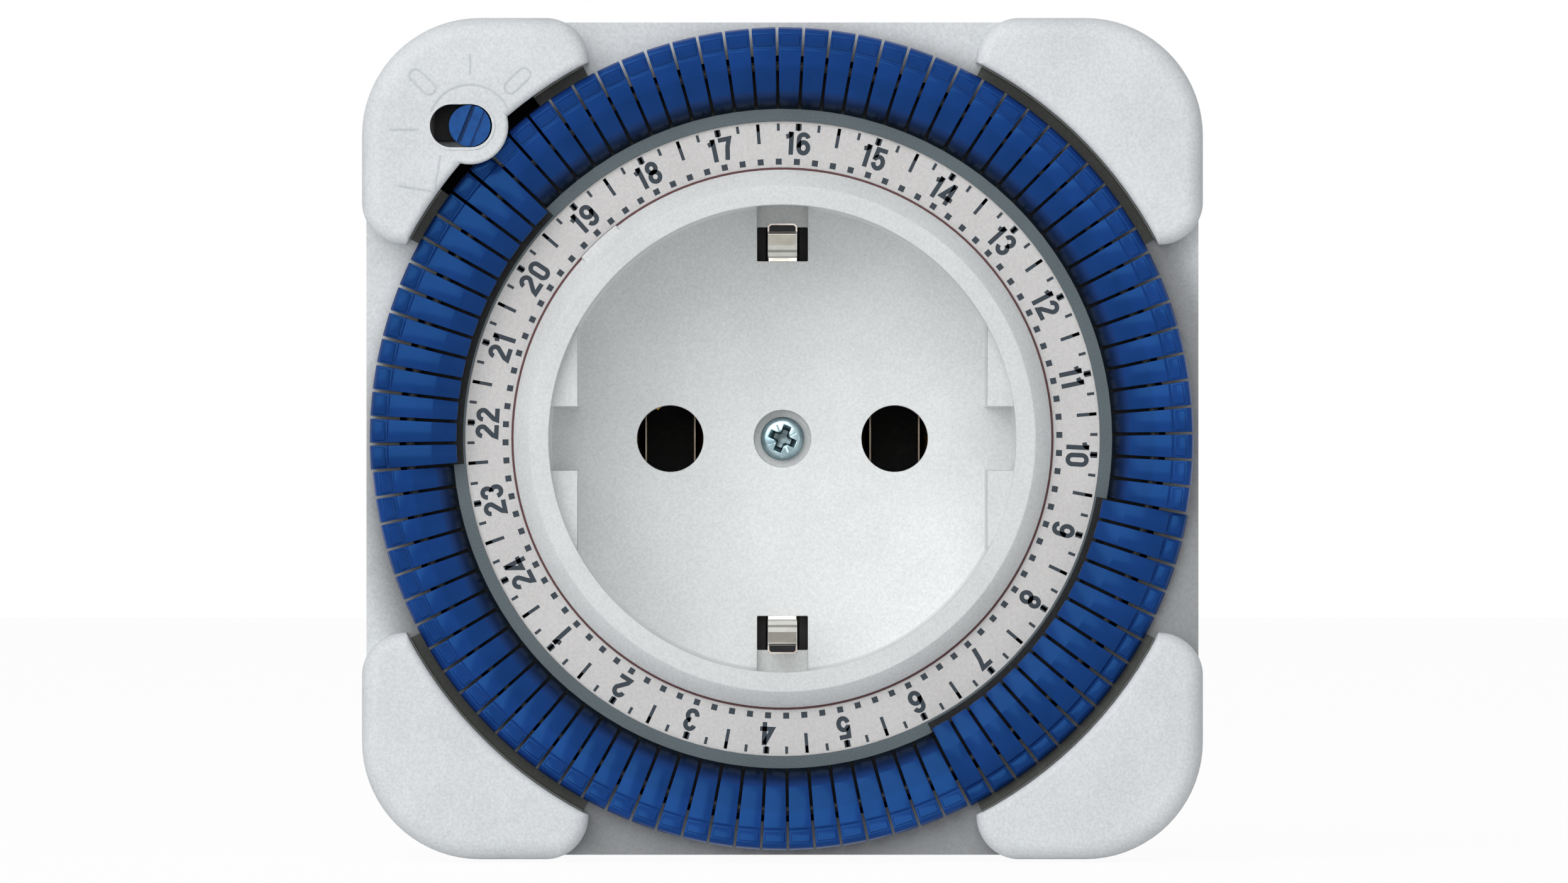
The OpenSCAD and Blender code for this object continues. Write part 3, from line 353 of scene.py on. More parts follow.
# Plated or rolled metal, with drawing marks along one axis
def platedMetal(name, low, high, roughness=(0.18, 0.32), along=(1, 1, 12), grain=0.3, depth=0.003,
                fade=None):
    material, tree, shader = newFinish(name)
    where = tree.nodes.new("ShaderNodeTexCoord").outputs["Object"]
    stretch = tree.nodes.new("ShaderNodeMapping")
    stretch.inputs["Scale"].default_value = along
    tree.links.new(where, stretch.inputs["Vector"])
    marks = noiseOn(tree, stretch.outputs["Vector"], grain, 3)
    cloud = noiseOn(tree, where, 1.6, 2)
    tone = blendColours(tree, spread(tree, cloud, 0, 1), screenColour(*low), screenColour(*high))
    if fade:
        tone = levelAtDepth(tree, where, tone, fade)
    tree.links.new(tone, shader.inputs["Base Color"])
    shader.inputs["Metallic"].default_value = 1
    tree.links.new(spread(tree, marks, *roughness), shader.inputs["Roughness"])
    addBump(tree, shader, [(marks, depth)])
    return material


# Screen-printed ink, a little uneven at its edges
def printedInk(name, low, high):
    material, tree, shader = newFinish(name)
    where = tree.nodes.new("ShaderNodeTexCoord").outputs["Object"]
    patchy = noiseOn(tree, where, 0.18, 3)
    tone = blendColours(tree, spread(tree, patchy, 0, 1), screenColour(*low), screenColour(*high))
    tree.links.new(tone, shader.inputs["Base Color"])
    tree.links.new(spread(tree, patchy, 0.55, 0.7), shader.inputs["Roughness"])
    return material


# Painted shadow of the dial on the flat face of the casing, below and to the right of the dial
faceShadowPlan = {"middle": (1.9, -3.2), "dark": 35, "clear": 38.5, "depth": 0.55, "back": 48.8, "face": 49.5,
            "faceTop": 50.6}
casingGrey = mattPlastic("casingGrey", (190, 193, 195), (214, 217, 219), shade=faceShadowPlan)
# Painted shade: the moulded signs are a darker grey than the casing, for the shade in their lines
casingMarkShade = mattPlastic("casingMarkShade", (176, 180, 183), (198, 202, 205))
# Painted light and shade: the socket's cup is darker near its rim and brighter deep towards its floor,
# standing in for light bounced inside the cup
cupWhite = mattPlastic("cupWhite", (214, 216, 216), (236, 238, 238), depth=0.008,
                       fade=((-50.0, 0.79), (-46.0, 0.84), (-40.0, 0.97), (-36.0, 1.0)))
# Painted shade: the dial ring is near black beyond 28 mm from its middle, where it shows between and under
# the tappets
dialGapShadePlan = {"middle": (0, 0), "dark": 28.0, "clear": 27.6, "depth": 0.96, "back": 30, "face": 55,
            "faceTop": 60}
dialGrey = mattPlastic("dialGrey", (64, 76, 81), (86, 98, 104), roughness=(0.4, 0.55), grain=0.15,
                       depth=0.004, shade=dialGapShadePlan)
scalePaper = mattPlastic("scalePaper", (184, 182, 181), (202, 200, 199), roughness=(0.5, 0.62), grain=0.25,
                         depth=0.003)
# Dark moulding of the contact carrier and switch base, near black: partly its own colour and partly painted
# shade for the deep windows of the socket
darkMoulding = mattPlastic("darkMoulding", (12, 13, 13), (24, 25, 25), grain=0.2, depth=0.006)
# Painted shade and light: the tappets darken to near black the deeper they lie, and their highest facets are
# a little brighter
tappetBlue = glossPlastic("tappetBlue", (18, 47, 103), (23, 54, 116), roughness=(0.16, 0.22), cloud=3.0,
                          depth=0.002, shine=0.36, tint=(0.1, 0.46, 1),
                          fade=((-49.0, 0.02), (-49.7, 0.35), (-50.3, 0.88), (-51.28, 0.94), (-51.42, 1.1)))
# Painted shade: the override knob darkens to near black the deeper it sits in its slot
knobBlue = glossPlastic("knobBlue", (2, 60, 122), (8, 76, 142), roughness=(0.3, 0.42), cloud=0.8, shine=0.16,
                        fade=((-47.0, 0.02), (-49.0, 0.06), (-51.8, 0.5), (-52.6, 1.0)))
whiteNylon = glossPlastic("whiteNylon", (222, 221, 214), (238, 237, 232), roughness=(0.38, 0.5))
ivoryBobbin = glossPlastic("ivoryBobbin", (214, 205, 180), (230, 222, 200), roughness=(0.4, 0.5))
leadCover = glossPlastic("leadCover", (120, 34, 30), (150, 46, 40), roughness=(0.4, 0.5))
nickel = platedMetal("nickel", (226, 221, 212), (246, 242, 234), roughness=(0.14, 0.26), depth=0.0015)
# Painted shade: the nickel of the earth clips is darker in two bands across each clip
clipNickel = platedMetal("clipNickel", (226, 221, 212), (246, 242, 234), roughness=(0.14, 0.26), depth=0.0015,
                         fade=((-40.3, 1), (-40.8, 0.3), (-41.3, 0.3), (-41.6, 1), (-42.9, 1), (-43.15, 0.35),
                               (-43.45, 0.35), (-43.7, 1)))
lipMetal = platedMetal("lipMetal", (150, 142, 136), (176, 168, 160), roughness=(0.25, 0.4))
leafMetal = platedMetal("leafMetal", (92, 84, 74), (112, 102, 90), roughness=(0.3, 0.45))
zinc = platedMetal("zinc", (128, 152, 160), (172, 194, 200), roughness=(0.16, 0.3), along=(4, 4, 4))
# Painted shade: the centre screw darkens below the top of its head, deep in its cross recess
screwZinc = platedMetal("screwZinc", (128, 152, 160), (172, 194, 200), roughness=(0.16, 0.3), along=(4, 4, 4),
                        fade=((-31.1, 0.26), (-31.6, 0.42), (-31.82, 0.8), (-32.1, 1.0)))
brass = platedMetal("brass", (176, 136, 66), (206, 168, 96), roughness=(0.24, 0.38))
steel = platedMetal("steel", (150, 152, 154), (184, 186, 188), roughness=(0.25, 0.4))
copper = platedMetal("copper", (168, 92, 56), (200, 120, 78), roughness=(0.3, 0.45), along=(1, 14, 1),
                     grain=0.25, depth=0.02)
magnetBlack = mattPlastic("magnetBlack", (42, 42, 46), (62, 62, 66), grain=0.12, depth=0.004)
# Painted shade: dark olive for the sheets laid along the shaded channel beside the dial
channelShadeOlive = mattPlastic("channelShadeOlive", (74, 76, 72), (96, 98, 94), roughness=(0.55, 0.7), grain=0.3,
                         depth=0.004)
shadeBlack = mattPlastic("shadeBlack", (2, 4, 8), (6, 8, 12), roughness=(0.6, 0.75), grain=0.3,
                         depth=0.003)
blackInk = printedInk("blackInk", (22, 34, 44), (34, 48, 60))
# Painted shade: maroon for the thin line in the gap between the scale and the socket's rim
maroonGapShade = printedInk("maroonGapShade", (84, 40, 44), (104, 56, 58))
print("finishes are ready")


# Pieces that keep the shape of the frame
finishOfNode = {
    "rear_housing": casingGrey, "front_cover": casingGrey, "socket_cup": cupWhite,
    "plug_pin_left": nickel, "plug_pin_right": nickel, "plug_earth_strap": nickel,
    "socket_earth_strap": clipNickel, "socket_contact_left": brass, "socket_contact_right": brass,
    "contact_carrier": darkMoulding, "housing_screws": zinc, "motor_can": steel,
    "motor_bobbin": ivoryBobbin, "motor_coil": copper, "motor_plate": steel, "motor_rotor": magnetBlack,
    "gear_plate": brass, "gear_arbors": steel, "wheel_1": whiteNylon, "wheel_2": whiteNylon,
    "wheel_3": whiteNylon, "drive_wheel": whiteNylon, "clutch_spring": steel, "drive_pinion": whiteNylon,
    "dial_ring": dialGrey, "scale_ring": scalePaper, "override_slider": knobBlue,
    "switch_follower": whiteNylon, "switch_base": darkMoulding, "contact_leaf": brass,
    "live_busbar": brass, "motor_leads": leadCover,
}
# Edge rounding in mm, where the moulding shows one
edgeOfNode = {"rear_housing": 0.2, "front_cover": 0.12, "socket_cup": 0.22, "plug_pin_left": 0.12,
              "plug_pin_right": 0.12, "override_slider": 0.1, "dial_ring": 0.06, "scale_ring": 0.05,
              "plug_earth_strap": 0.06, "socket_earth_strap": 0.08}
dressPlan = {"edge": 0.03, "weld": 0.002, "sharp": 32}


def dressNode(name, finish):
    node = nodes[name]
    node.data.materials.clear()
    node.data.materials.append(finish)
    weld = node.modifiers.new("joinDoubles", "WELD")
    weld.merge_threshold = dressPlan["weld"] * mm
    bevel = node.modifiers.new("softEdges", "BEVEL")
    bevel.width = edgeOfNode.get(name, dressPlan["edge"]) * mm
    bevel.segments = 2
    bevel.limit_method = "ANGLE"
    bevel.angle_limit = math.radians(dressPlan["sharp"])
    bevel.harden_normals = True


for nodeName, finish in finishOfNode.items():
    dressNode(nodeName, finish)
print("frame pieces are dressed")


# Helpers for new pieces
def makePiece(name, mesh, material, body):
    mesh.materials.clear()
    mesh.materials.append(material)
    piece = bpy.data.objects.new(name, mesh)
    bpy.context.collection.objects.link(piece)
    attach(piece, body)
    return piece


def meshFrom(bm, name):
    bmesh.ops.recalc_face_normals(bm, faces=bm.faces)
    mesh = bpy.data.meshes.new(name)
    bm.to_mesh(mesh)
    bm.free()
    return mesh


# Points along an arc, from one angle in degrees to another
def bow(cx, cy, rx, ry, start, end, steps=14):
    return [(cx + rx * math.cos(math.radians(start + (end - start) * k / steps)),
             cy + ry * math.sin(math.radians(start + (end - start) * k / steps))) for k in range(steps + 1)]


def smoothByAngle(mesh, degrees):
    for polygon in mesh.polygons:
        polygon.use_smooth = True
    mesh.set_sharp_from_angle(angle=math.radians(degrees))


# Building and running Geometry Nodes trees
def newTree(name, inputs):
    tree = bpy.data.node_groups.new(name, "GeometryNodeTree")
    tree.interface.new_socket("Geometry", in_out="OUTPUT", socket_type="NodeSocketGeometry")
    for title, kind in inputs:
        tree.interface.new_socket(title, in_out="INPUT", socket_type=kind)
    return tree, tree.nodes.new("NodeGroupInput"), tree.nodes.new("NodeGroupOutput")


def runTree(tree, values, name):
    # Evaluates the tree on an empty carrier and returns the result as a plain mesh
    carrier = bpy.data.objects.new(name + "Carrier", bpy.data.meshes.new(name + "Carrier"))
    bpy.context.collection.objects.link(carrier)
    modifier = carrier.modifiers.new("build", "NODES")
    modifier.node_group = tree
    for item in tree.interface.items_tree:
        if item.item_type == "SOCKET" and item.in_out == "INPUT":
            modifier[item.identifier] = values[item.name]
    graph = bpy.context.evaluated_depsgraph_get()
    mesh = bpy.data.meshes.new_from_object(carrier.evaluated_get(graph), depsgraph=graph)
    mesh.name = name
    carrier.modifiers.clear()
    bpy.data.objects.remove(carrier, do_unlink=True)
    return mesh


def mathNode(tree, operation, *values):
    node = tree.nodes.new("ShaderNodeMath")
    node.operation = operation
    for k, value in enumerate(values):
        if isinstance(value, (int, float)):
            node.inputs[k].default_value = value
        else:
            tree.links.new(value, node.inputs[k])
    return node.outputs[0]


def turnedCopies(tree, source, count, first, step):
    # Copies of a geometry around the dial axis; returns the instances
    points = tree.nodes.new("GeometryNodePoints")
    tree.links.new(count, points.inputs["Count"])
    index = tree.nodes.new("GeometryNodeInputIndex").outputs[0]
    angle = mathNode(tree, "MULTIPLY_ADD", index, step, first)
    turn = tree.nodes.new("ShaderNodeCombineXYZ")
    tree.links.new(angle, turn.inputs["Y"])
    copies = tree.nodes.new("GeometryNodeInstanceOnPoints")
    tree.links.new(points.outputs[0], copies.inputs["Points"])
    tree.links.new(source, copies.inputs["Instance"])
    tree.links.new(turn.outputs[0], copies.inputs["Rotation"])
    return copies.outputs[0]


def closeTree(tree, geometry, material, groupOut):
    solid = tree.nodes.new("GeometryNodeRealizeInstances")
    paint = tree.nodes.new("GeometryNodeSetMaterial")
    tree.links.new(geometry, solid.inputs[0])
    tree.links.new(solid.outputs[0], paint.inputs["Geometry"])
    tree.links.new(material, paint.inputs["Material"])
    tree.links.new(paint.outputs[0], groupOut.inputs[0])


# Tappets: lengths in mm about the pivot, the ledge counted inwards from the outer tip
tappetPlan = {"count": 96, "gap": 0.25, "pivotRadius": 31.0, "pivotHeight": 50.3, "throw": 24, "edge": 0.07,
              "tipIn": -3.84, "tipOut": 3.4, "tipHeight": -0.05, "crest": [(-1.8, 0.9), (0.6, 0.95)],
              "ledge": [(1.55, 0.64), (1.45, 0.45), (0.24, 0.42), (0, 0.05), (0, -0.4), (0.15, -0.5)],
              "underside": -0.5, "footBottom": -0.8, "footOut": 0.75, "footIn": -1.2,
              "bead": 0.42, "beadPlay": 0.13, "pocketEnd": 213, "web": 0.4, "webPlay": 0.08, "tiltPlay": 0.1,
              "pad": {"from": 1.28, "to": 0.36, "low": 0.38, "top": 0.56, "inset": 0.14, "draft": 0.05},
              "hourAtTop": 16, "phase": 2.98, "onFrom": (6, 19.25), "onTo": (9.5, 22.5)}


def tappetSection(plan):
    # Outline about the pivot: x outwards, y forward, with a pocket for the bead of the dial
    tipIn, tipOut = plan["tipIn"], plan["tipOut"]
    underside, foot = plan["underside"], plan["footBottom"]
    pocket = plan["bead"] + plan["beadPlay"]
    right = plan["web"] / 2 + plan["webPlay"]
    throw = math.radians(plan["throw"])
    left = -((plan["web"] / 2 + plan["tiltPlay"]) / math.cos(throw) - foot * math.tan(throw))
    outline = [(tipIn, underside), (tipIn, plan["tipHeight"])] + plan["crest"]
    outline += [(tipOut - x, y) for x, y in plan["ledge"]]
    outline += [(plan["footOut"], underside - 0.05), (plan["footOut"], foot), (right, foot)]
    start = -math.degrees(math.acos(right / pocket))
    outline += bow(0, 0, pocket, pocket, start, plan["pocketEnd"], 9)
    return outline + [(left, foot), (plan["footIn"], foot), (plan["footIn"] - 0.05, underside)]


def makeTappetBlank(plan):
    section = tappetSection(plan)
    half = math.radians(180 / plan["count"])
    bm = bmesh.new()
    sides = []

    def halfWidth(x):
        return (plan["pivotRadius"] + x) * math.tan(half) - plan["gap"] / 2

    for s in (-1, 1):
        sides.append([bm.verts.new(Vector((s * halfWidth(x), -y, x)) * mm) for x, y in section])
    bm.faces.new(sides[0])
    bm.faces.new(list(reversed(sides[1])))
    for k in range(len(section)):
        n = (k + 1) % len(section)
        bm.faces.new([sides[0][k], sides[1][k], sides[1][n], sides[0][n]])
    # Small raised pad on the ledge at the outer end
    pad = plan["pad"]
    inner, outer = plan["tipOut"] - pad["from"], plan["tipOut"] - pad["to"]
    low, high = pad["low"], pad["top"]
    corners = []
    for x, y in ((inner, low), (outer, low), (outer, high), (inner, high)):
        w = halfWidth(x) - pad["inset"] - (pad["draft"] if y == high else 0)
        corners.append([bm.verts.new(Vector((s * w, -y, x)) * mm) for s in (-1, 1)])
    bm.faces.new([c[0] for c in corners])
    bm.faces.new([c[1] for c in reversed(corners)])
    for k in range(4):
        a, b = corners[k], corners[(k + 1) % 4]
        bm.faces.new([a[0], a[1], b[1], b[0]])
    bmesh.ops.recalc_face_normals(bm, faces=bm.faces)
    # Round the edges that show, and leave the feet and the pocket sharp
    hidden = 0.6 * mm
    visible = [e for e in bm.edges if e.is_manifold and e.calc_face_angle(0) > math.radians(20)
               and min(-v.co.y for v in e.verts) > -hidden
               and not all(Vector((v.co.y, v.co.z)).length < hidden for v in e.verts)]
    bmesh.ops.bevel(bm, geom=visible, offset=plan["edge"] * mm, segments=2, profile=0.5, affect="EDGES")
    mesh = meshFrom(bm, "tappetBlank")
    smoothByAngle(mesh, 30)
    blank = bpy.data.objects.new("tappetBlank", mesh)
    bpy.context.collection.objects.link(blank)
    return blank


def makeTappetTree():
    tree, entry, groupOut = newTree("tappetGroup", [
        ("Tappet", "NodeSocketObject"), ("Count", "NodeSocketInt"), ("First Angle", "NodeSocketFloat"),
        ("Step", "NodeSocketFloat"), ("Tip", "NodeSocketFloat"), ("Pivot Radius", "NodeSocketFloat"),
        ("Pivot Height", "NodeSocketFloat"), ("Material", "NodeSocketMaterial")])
    source = tree.nodes.new("GeometryNodeObjectInfo")
    tree.links.new(entry.outputs["Tappet"], source.inputs["Object"])
    lean = tree.nodes.new("ShaderNodeCombineXYZ")
    tree.links.new(entry.outputs["Tip"], lean.inputs["X"])
    seat = tree.nodes.new("ShaderNodeCombineXYZ")
    tree.links.new(mathNode(tree, "MULTIPLY", entry.outputs["Pivot Height"], -1), seat.inputs["Y"])
    tree.links.new(entry.outputs["Pivot Radius"], seat.inputs["Z"])
    move = tree.nodes.new("GeometryNodeTransform")
    tree.links.new(source.outputs["Geometry"], move.inputs["Geometry"])
    tree.links.new(lean.outputs[0], move.inputs["Rotation"])
    tree.links.new(seat.outputs[0], move.inputs["Translation"])
    copies = turnedCopies(tree, move.outputs[0], entry.outputs["Count"], entry.outputs["First Angle"],
                          entry.outputs["Step"])
    closeTree(tree, copies, entry.outputs["Material"], groupOut)
    return tree


def isOn(plan, hour):
    return any(a <= hour < b for a, b in zip(plan["onFrom"], plan["onTo"]))


def hourAngle(plan, hour):
    return plan["phase"] + (plan["hourAtTop"] - hour) * 15


def makeTappets(plan):
    blank = makeTappetBlank(plan)
    tree = makeTappetTree()
    step = 24 / plan["count"]
    hours = [k * step for k in range(plan["count"])]
    starts = [h for h in hours if h == int(h) or isOn(plan, h) != isOn(plan, h - step)]
    for start, end in zip(starts, starts[1:] + [24]):
        minutes = round((start % 1) * 60)
        cadName = f"tappets_{int(start):02d}" + (f"_{minutes:02d}" if minutes else "")
        values = {"Tappet": blank, "Count": round((end - start) / step),
                  "First Angle": math.radians(hourAngle(plan, start + step / 2)),
                  "Step": math.radians(-15 * step),
                  "Tip": 0.0 if isOn(plan, start) else math.radians(plan["throw"]),
                  "Pivot Radius": plan["pivotRadius"] * mm, "Pivot Height": plan["pivotHeight"] * mm,
                  "Material": tappetBlue}
        mesh = runTree(tree, values, "blueTappets" + cadName[7:])
        smoothByAngle(mesh, 30)
        piece = makePiece("blueTappets" + cadName[7:], mesh, tappetBlue, cadName)
        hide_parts(cadName)
    bpy.data.objects.remove(blank, do_unlink=True)
    print("tappets are ready:", len(starts), "groups")


makeTappets(tappetPlan)


# Printed scale: rows are (inner radius, outer radius, width)
scalePlan = {"height": 48.3, "print": 0.012, "dotRadius": 23.12, "dotSize": 0.5,
             "quarter": (25.7, 26.3, 0.24), "halfHour": (24.65, 26.3, 0.28), "hour": (25.75, 26.32, 0.5),
             "numeralMiddle": 24.66,
             "stroke": 0.38, "digitWidth": 1.14, "oneWidth": 0.72, "digitGap": 0.24}


def makeMarkTree():
    tree, entry, groupOut = newTree("scaleMarks", [
        ("Count", "NodeSocketInt"), ("First Angle", "NodeSocketFloat"), ("Step", "NodeSocketFloat"),
        ("Inner Radius", "NodeSocketFloat"), ("Outer Radius", "NodeSocketFloat"),
        ("Width", "NodeSocketFloat"), ("Thickness", "NodeSocketFloat"), ("Height", "NodeSocketFloat"),
        ("Material", "NodeSocketMaterial")])
    length = mathNode(tree, "SUBTRACT", entry.outputs["Outer Radius"], entry.outputs["Inner Radius"])
    size = tree.nodes.new("ShaderNodeCombineXYZ")
    tree.links.new(entry.outputs["Width"], size.inputs["X"])
    tree.links.new(entry.outputs["Thickness"], size.inputs["Y"])
    tree.links.new(length, size.inputs["Z"])
    bar = tree.nodes.new("GeometryNodeMeshCube")
    tree.links.new(size.outputs[0], bar.inputs["Size"])
    seat = tree.nodes.new("ShaderNodeCombineXYZ")
    middle = mathNode(tree, "MULTIPLY_ADD", length, 0.5, entry.outputs["Inner Radius"])
    depth = mathNode(tree, "MULTIPLY_ADD", entry.outputs["Thickness"], 0.5, entry.outputs["Height"])
    tree.links.new(mathNode(tree, "MULTIPLY", depth, -1), seat.inputs["Y"])
    tree.links.new(middle, seat.inputs["Z"])
    move = tree.nodes.new("GeometryNodeTransform")
    tree.links.new(bar.outputs["Mesh"], move.inputs["Geometry"])
    tree.links.new(seat.outputs[0], move.inputs["Translation"])
    copies = turnedCopies(tree, move.outputs[0], entry.outputs["Count"], entry.outputs["First Angle"],
                          entry.outputs["Step"])
    closeTree(tree, copies, entry.outputs["Material"], groupOut)
    return tree


# Condensed digits drawn as strokes: middle lines in mm, the digit's middle at zero
def digitStrokes(digit):
    w, h = 0.39, 0.78
    strokes = {
        "0": [bow(0, h - w, w, w, 0, 180) + bow(0, w - h, w, w, 180, 360)],
        "1": [[(0.14, -0.96), (0.14, 0.96)], [(-0.3, 0.53), (-0.1, 0.58), (0.05, 0.7), (0.1, 0.94)]],
        "2": [bow(0, h - w, w, w, 180, -25) + [(-0.3, -0.5), (-w, -h), (0.575, -h)]],
        "3": [bow(0, 0.4, w - 0.02, 0.38, 178, -80), bow(0, -0.37, w, 0.41, 86, -178)],
        "4": [[(0.22, -0.96), (0.22, 0.96)], [(0.2, 0.86), (-0.42, -0.4), (0.6, -0.4)]],
        "5": [[(0.52, h), (-0.28, h), (-0.34, 0.02)] + bow(0.0, -0.29, w, 0.49, 142, -172)],
        "6": [bow(0, -0.33, w, 0.45, 0, 360, 24)[:-1], bow(0, h - w, w, w, 12, 180, 10) + [(-w, -0.33)]],
        "7": [[(-0.575, h), (0.36, h), (0.1, 0.1), (-0.1, -0.96)]],
        "8": [bow(0, 0.41, 0.35, 0.37, 0, 360, 24)[:-1], bow(0, -0.37, w, 0.41, 0, 360, 24)[:-1]],
    }
    if digit == "9":
        return [[(-x, -y) for x, y in line] for line in strokes["6"]]
    return strokes[digit]


def ribbon(bm, line, width, closed, toPoint, thickness):
    # A flat bar along a line; toPoint carries (x, y, z) onto the dial
    n = len(line)
    edges = []
    for k in range(n):
        before = line[(k - 1) % n] if closed or k else line[0]
        after = line[(k + 1) % n] if closed or k < n - 1 else line[-1]
        a = Vector((line[k][0] - before[0], line[k][1] - before[1]))
        b = Vector((after[0] - line[k][0], after[1] - line[k][1]))
        a = a.normalized() if a.length > 1e-9 else b.normalized()
        b = b.normalized() if b.length > 1e-9 else a
        middle = (a + b).normalized()
        side = Vector((-middle.y, middle.x)) * (width / 2 / max(0.5, middle.dot(a)))
        x, y = line[k]
        edges.append([bm.verts.new(toPoint(x + s * side.x, y + s * side.y, z))
                      for s, z in ((1, 0), (1, thickness), (-1, thickness), (-1, 0))])
    for k in range(n if closed else n - 1):
        a, b = edges[k], edges[(k + 1) % n]
        for i in range(4):
            bm.faces.new([a[i], b[i], b[(i + 1) % 4], a[(i + 1) % 4]])
    if not closed:
        bm.faces.new(edges[0])
        bm.faces.new(list(reversed(edges[-1])))


def addNumeral(bm, plan, tappets, hour):
    text = str(hour)
    widths = [plan["oneWidth"] if digit == "1" else plan["digitWidth"] for digit in text]
    cursor = -(sum(widths) + plan["digitGap"] * (len(text) - 1)) / 2
    turn = Matrix.Rotation(math.radians(hourAngle(tappets, hour)), 4, "Y")
    for digit, width in zip(text, widths):
        middle = cursor + width / 2
        cursor += width + plan["digitGap"]

        def ontoDial(x, y, z):
            return turn @ place(x + middle, y + plan["numeralMiddle"], plan["height"] + z)

        for line in digitStrokes(digit):
            closed = digit == "0" or (digit in "689" and len(line) == 24)
            if digit == "0":
                line = line[:15] + line[16:-1]  # the half circles share their ends
            ribbon(bm, line, plan["stroke"], closed, ontoDial, plan["print"])


def makeScalePrint(plan, tappets):
    tree = makeMarkTree()
    phase = tappets["phase"]
    common = {"Thickness": plan["print"] * mm, "Height": plan["height"] * mm, "Material": blackInk}
    dot = plan["dotSize"]
    rows = {
        "dots": (96, phase, 3.75, plan["dotRadius"] - dot / 2, plan["dotRadius"] + dot / 2, dot),
        "quarters": (96, phase, 3.75) + plan["quarter"],
        "halfHours": (24, phase + 7.5, 15) + plan["halfHour"],
        "hours": (24, phase, 15) + plan["hour"],
    }
    bm = bmesh.new()
    for name, (count, first, step, inner, outer, width) in rows.items():
        values = dict(common)
        values.update({"Count": count, "First Angle": math.radians(first), "Step": math.radians(step),
                       "Inner Radius": inner * mm, "Outer Radius": outer * mm, "Width": width * mm})
        bm.from_mesh(runTree(tree, values, name))
    makePiece("scaleMarks", meshFrom(bm, "scaleMarks"), blackInk, "dial")
    bm = bmesh.new()
    for hour in range(1, 25):
        addNumeral(bm, plan, tappets, hour)
    makePiece("hourNumerals", meshFrom(bm, "hourNumerals"), blackInk, "dial")
    print("scale print is ready")


makeScalePrint(scalePlan, tappetPlan)


# Turned pieces
def latheMesh(name, outline, segments=192, start=0, sweep=360):
    # outline is a closed list of (radius, z)
    bm = bmesh.new()
    full = sweep >= 360
    steps = segments if full else segments + 1
    rings = []
    for k in range(steps):
        angle = start + sweep * k / segments
        rings.append([bm.verts.new(onDial(r, angle, z)) for r, z in outline])
    for k in range(segments):
        a, b = rings[k], rings[(k + 1) % steps]
        for i in range(len(outline)):
            j = (i + 1) % len(outline)
            bm.faces.new([a[i], a[j], b[j], b[i]])
    if not full:
        bm.faces.new(rings[0])
        bm.faces.new(list(reversed(rings[-1])))
    mesh = meshFrom(bm, name)
    smoothByAngle(mesh, 35)
    return mesh


channelShadePlan = {"inner": 34.3, "outer": 35.2, "floor": 49.42, "top": 52.4, "thickness": 0.12, "from": 28.2,
             "to": 61.8, "window": 8.9}


# Painted shade: a dark olive sheet laid along the channel between the tappets and each pad, where the channel
# lies in shade
def makeLiners(plan):
    inner, outer, floor, top, t = (plan[key] for key in ("inner", "outer", "floor", "top", "thickness"))
    outline = [(inner, floor), (outer, floor), (outer, top), (outer - t, top), (outer - t, floor + t),
               (inner, floor + t)]
    bm = bmesh.new()
    for quarter in range(4):
        stretches = [(plan["from"], plan["to"])]
        if quarter == 3:
            stretches = [(plan["from"], 45 - plan["window"]), (45 + plan["window"], plan["to"])]
        for start, end in stretches:
            bm.from_mesh(latheMesh("channelShadePart", outline, 48, quarter * 90 + start, end - start))
    makePiece("channelLiners", meshFrom(bm, "channelLiners"), channelShadeOlive, "housing")


makeLiners(channelShadePlan)


# Outline of a flat ring
def squareRing(plan):
    return [(plan["inner"], plan["low"]), (plan["outer"], plan["low"]), (plan["outer"], plan["high"]),
            (plan["inner"], plan["high"])]


rimShadePlan = {"inner": 26.66, "outer": 27.5, "low": 48.59, "high": 48.63}


# Painted shade: a black ring on the edge of the dial beside the tappets that are switched on
def makeRimShade(plan, tappets):
    bm = bmesh.new()
    for start, end in zip(tappets["onFrom"], tappets["onTo"]):
        sweep = (end - start) * 15
        bm.from_mesh(latheMesh("shade", squareRing(plan), 96, hourAngle(tappets, end), sweep))
    makePiece("rimShade", meshFrom(bm, "rimShade"), shadeBlack, "dial")


makeRimShade(rimShadePlan, tappetPlan)

markPlan = {"height": 53.38, "thickness": 0.07, "width": 0.14, "nose": (-26, 26),
            "boxes": ((-29.96, 29.67), (-22.06, 29.77)), "boxLength": 2.6, "boxWidth": 1.05,
            "arcRadius": 3.45, "arcFrom": 26, "arcTo": 160,
            "lines": (((-32.7, 25.7), (-30.3, 25.7)), ((-26.0, 30.3), (-26.0, 32.0)),
                      ((-32.06, 21.04), (-28.99, 20.58), (-28.46, 23.52)))}


# Faint moulded signs around the knob, drawn in a darker grey as painted shade
def makePadMarks(plan):
    bm = bmesh.new()

    def ontoPad(x, y, z):
        return place(x, y, plan["height"] + z)

    def draw(line, closed):
        ribbon(bm, line, plan["width"], closed, ontoPad, plan["thickness"])

    noseX, noseY = plan["nose"]
    for x, y in plan["boxes"]:
        aim = math.atan2(noseY - y, noseX - x)
        half, r = plan["boxLength"] / 2 - plan["boxWidth"] / 2, plan["boxWidth"] / 2
        loop = bow(half, 0, r, r, -90, 90, 8) + bow(-half, 0, r, r, 90, 270, 8)
        c, s = math.cos(aim), math.sin(aim)
        draw([(x + u * c - v * s, y + u * s + v * c) for u, v in loop], True)
    r = plan["arcRadius"]
    draw(bow(noseX, noseY, r, r, plan["arcFrom"], plan["arcTo"], 40), False)
    for line in plan["lines"]:
        draw(line, False)
    makePiece("padMarks", meshFrom(bm, "padMarks"), casingMarkShade, "housing")


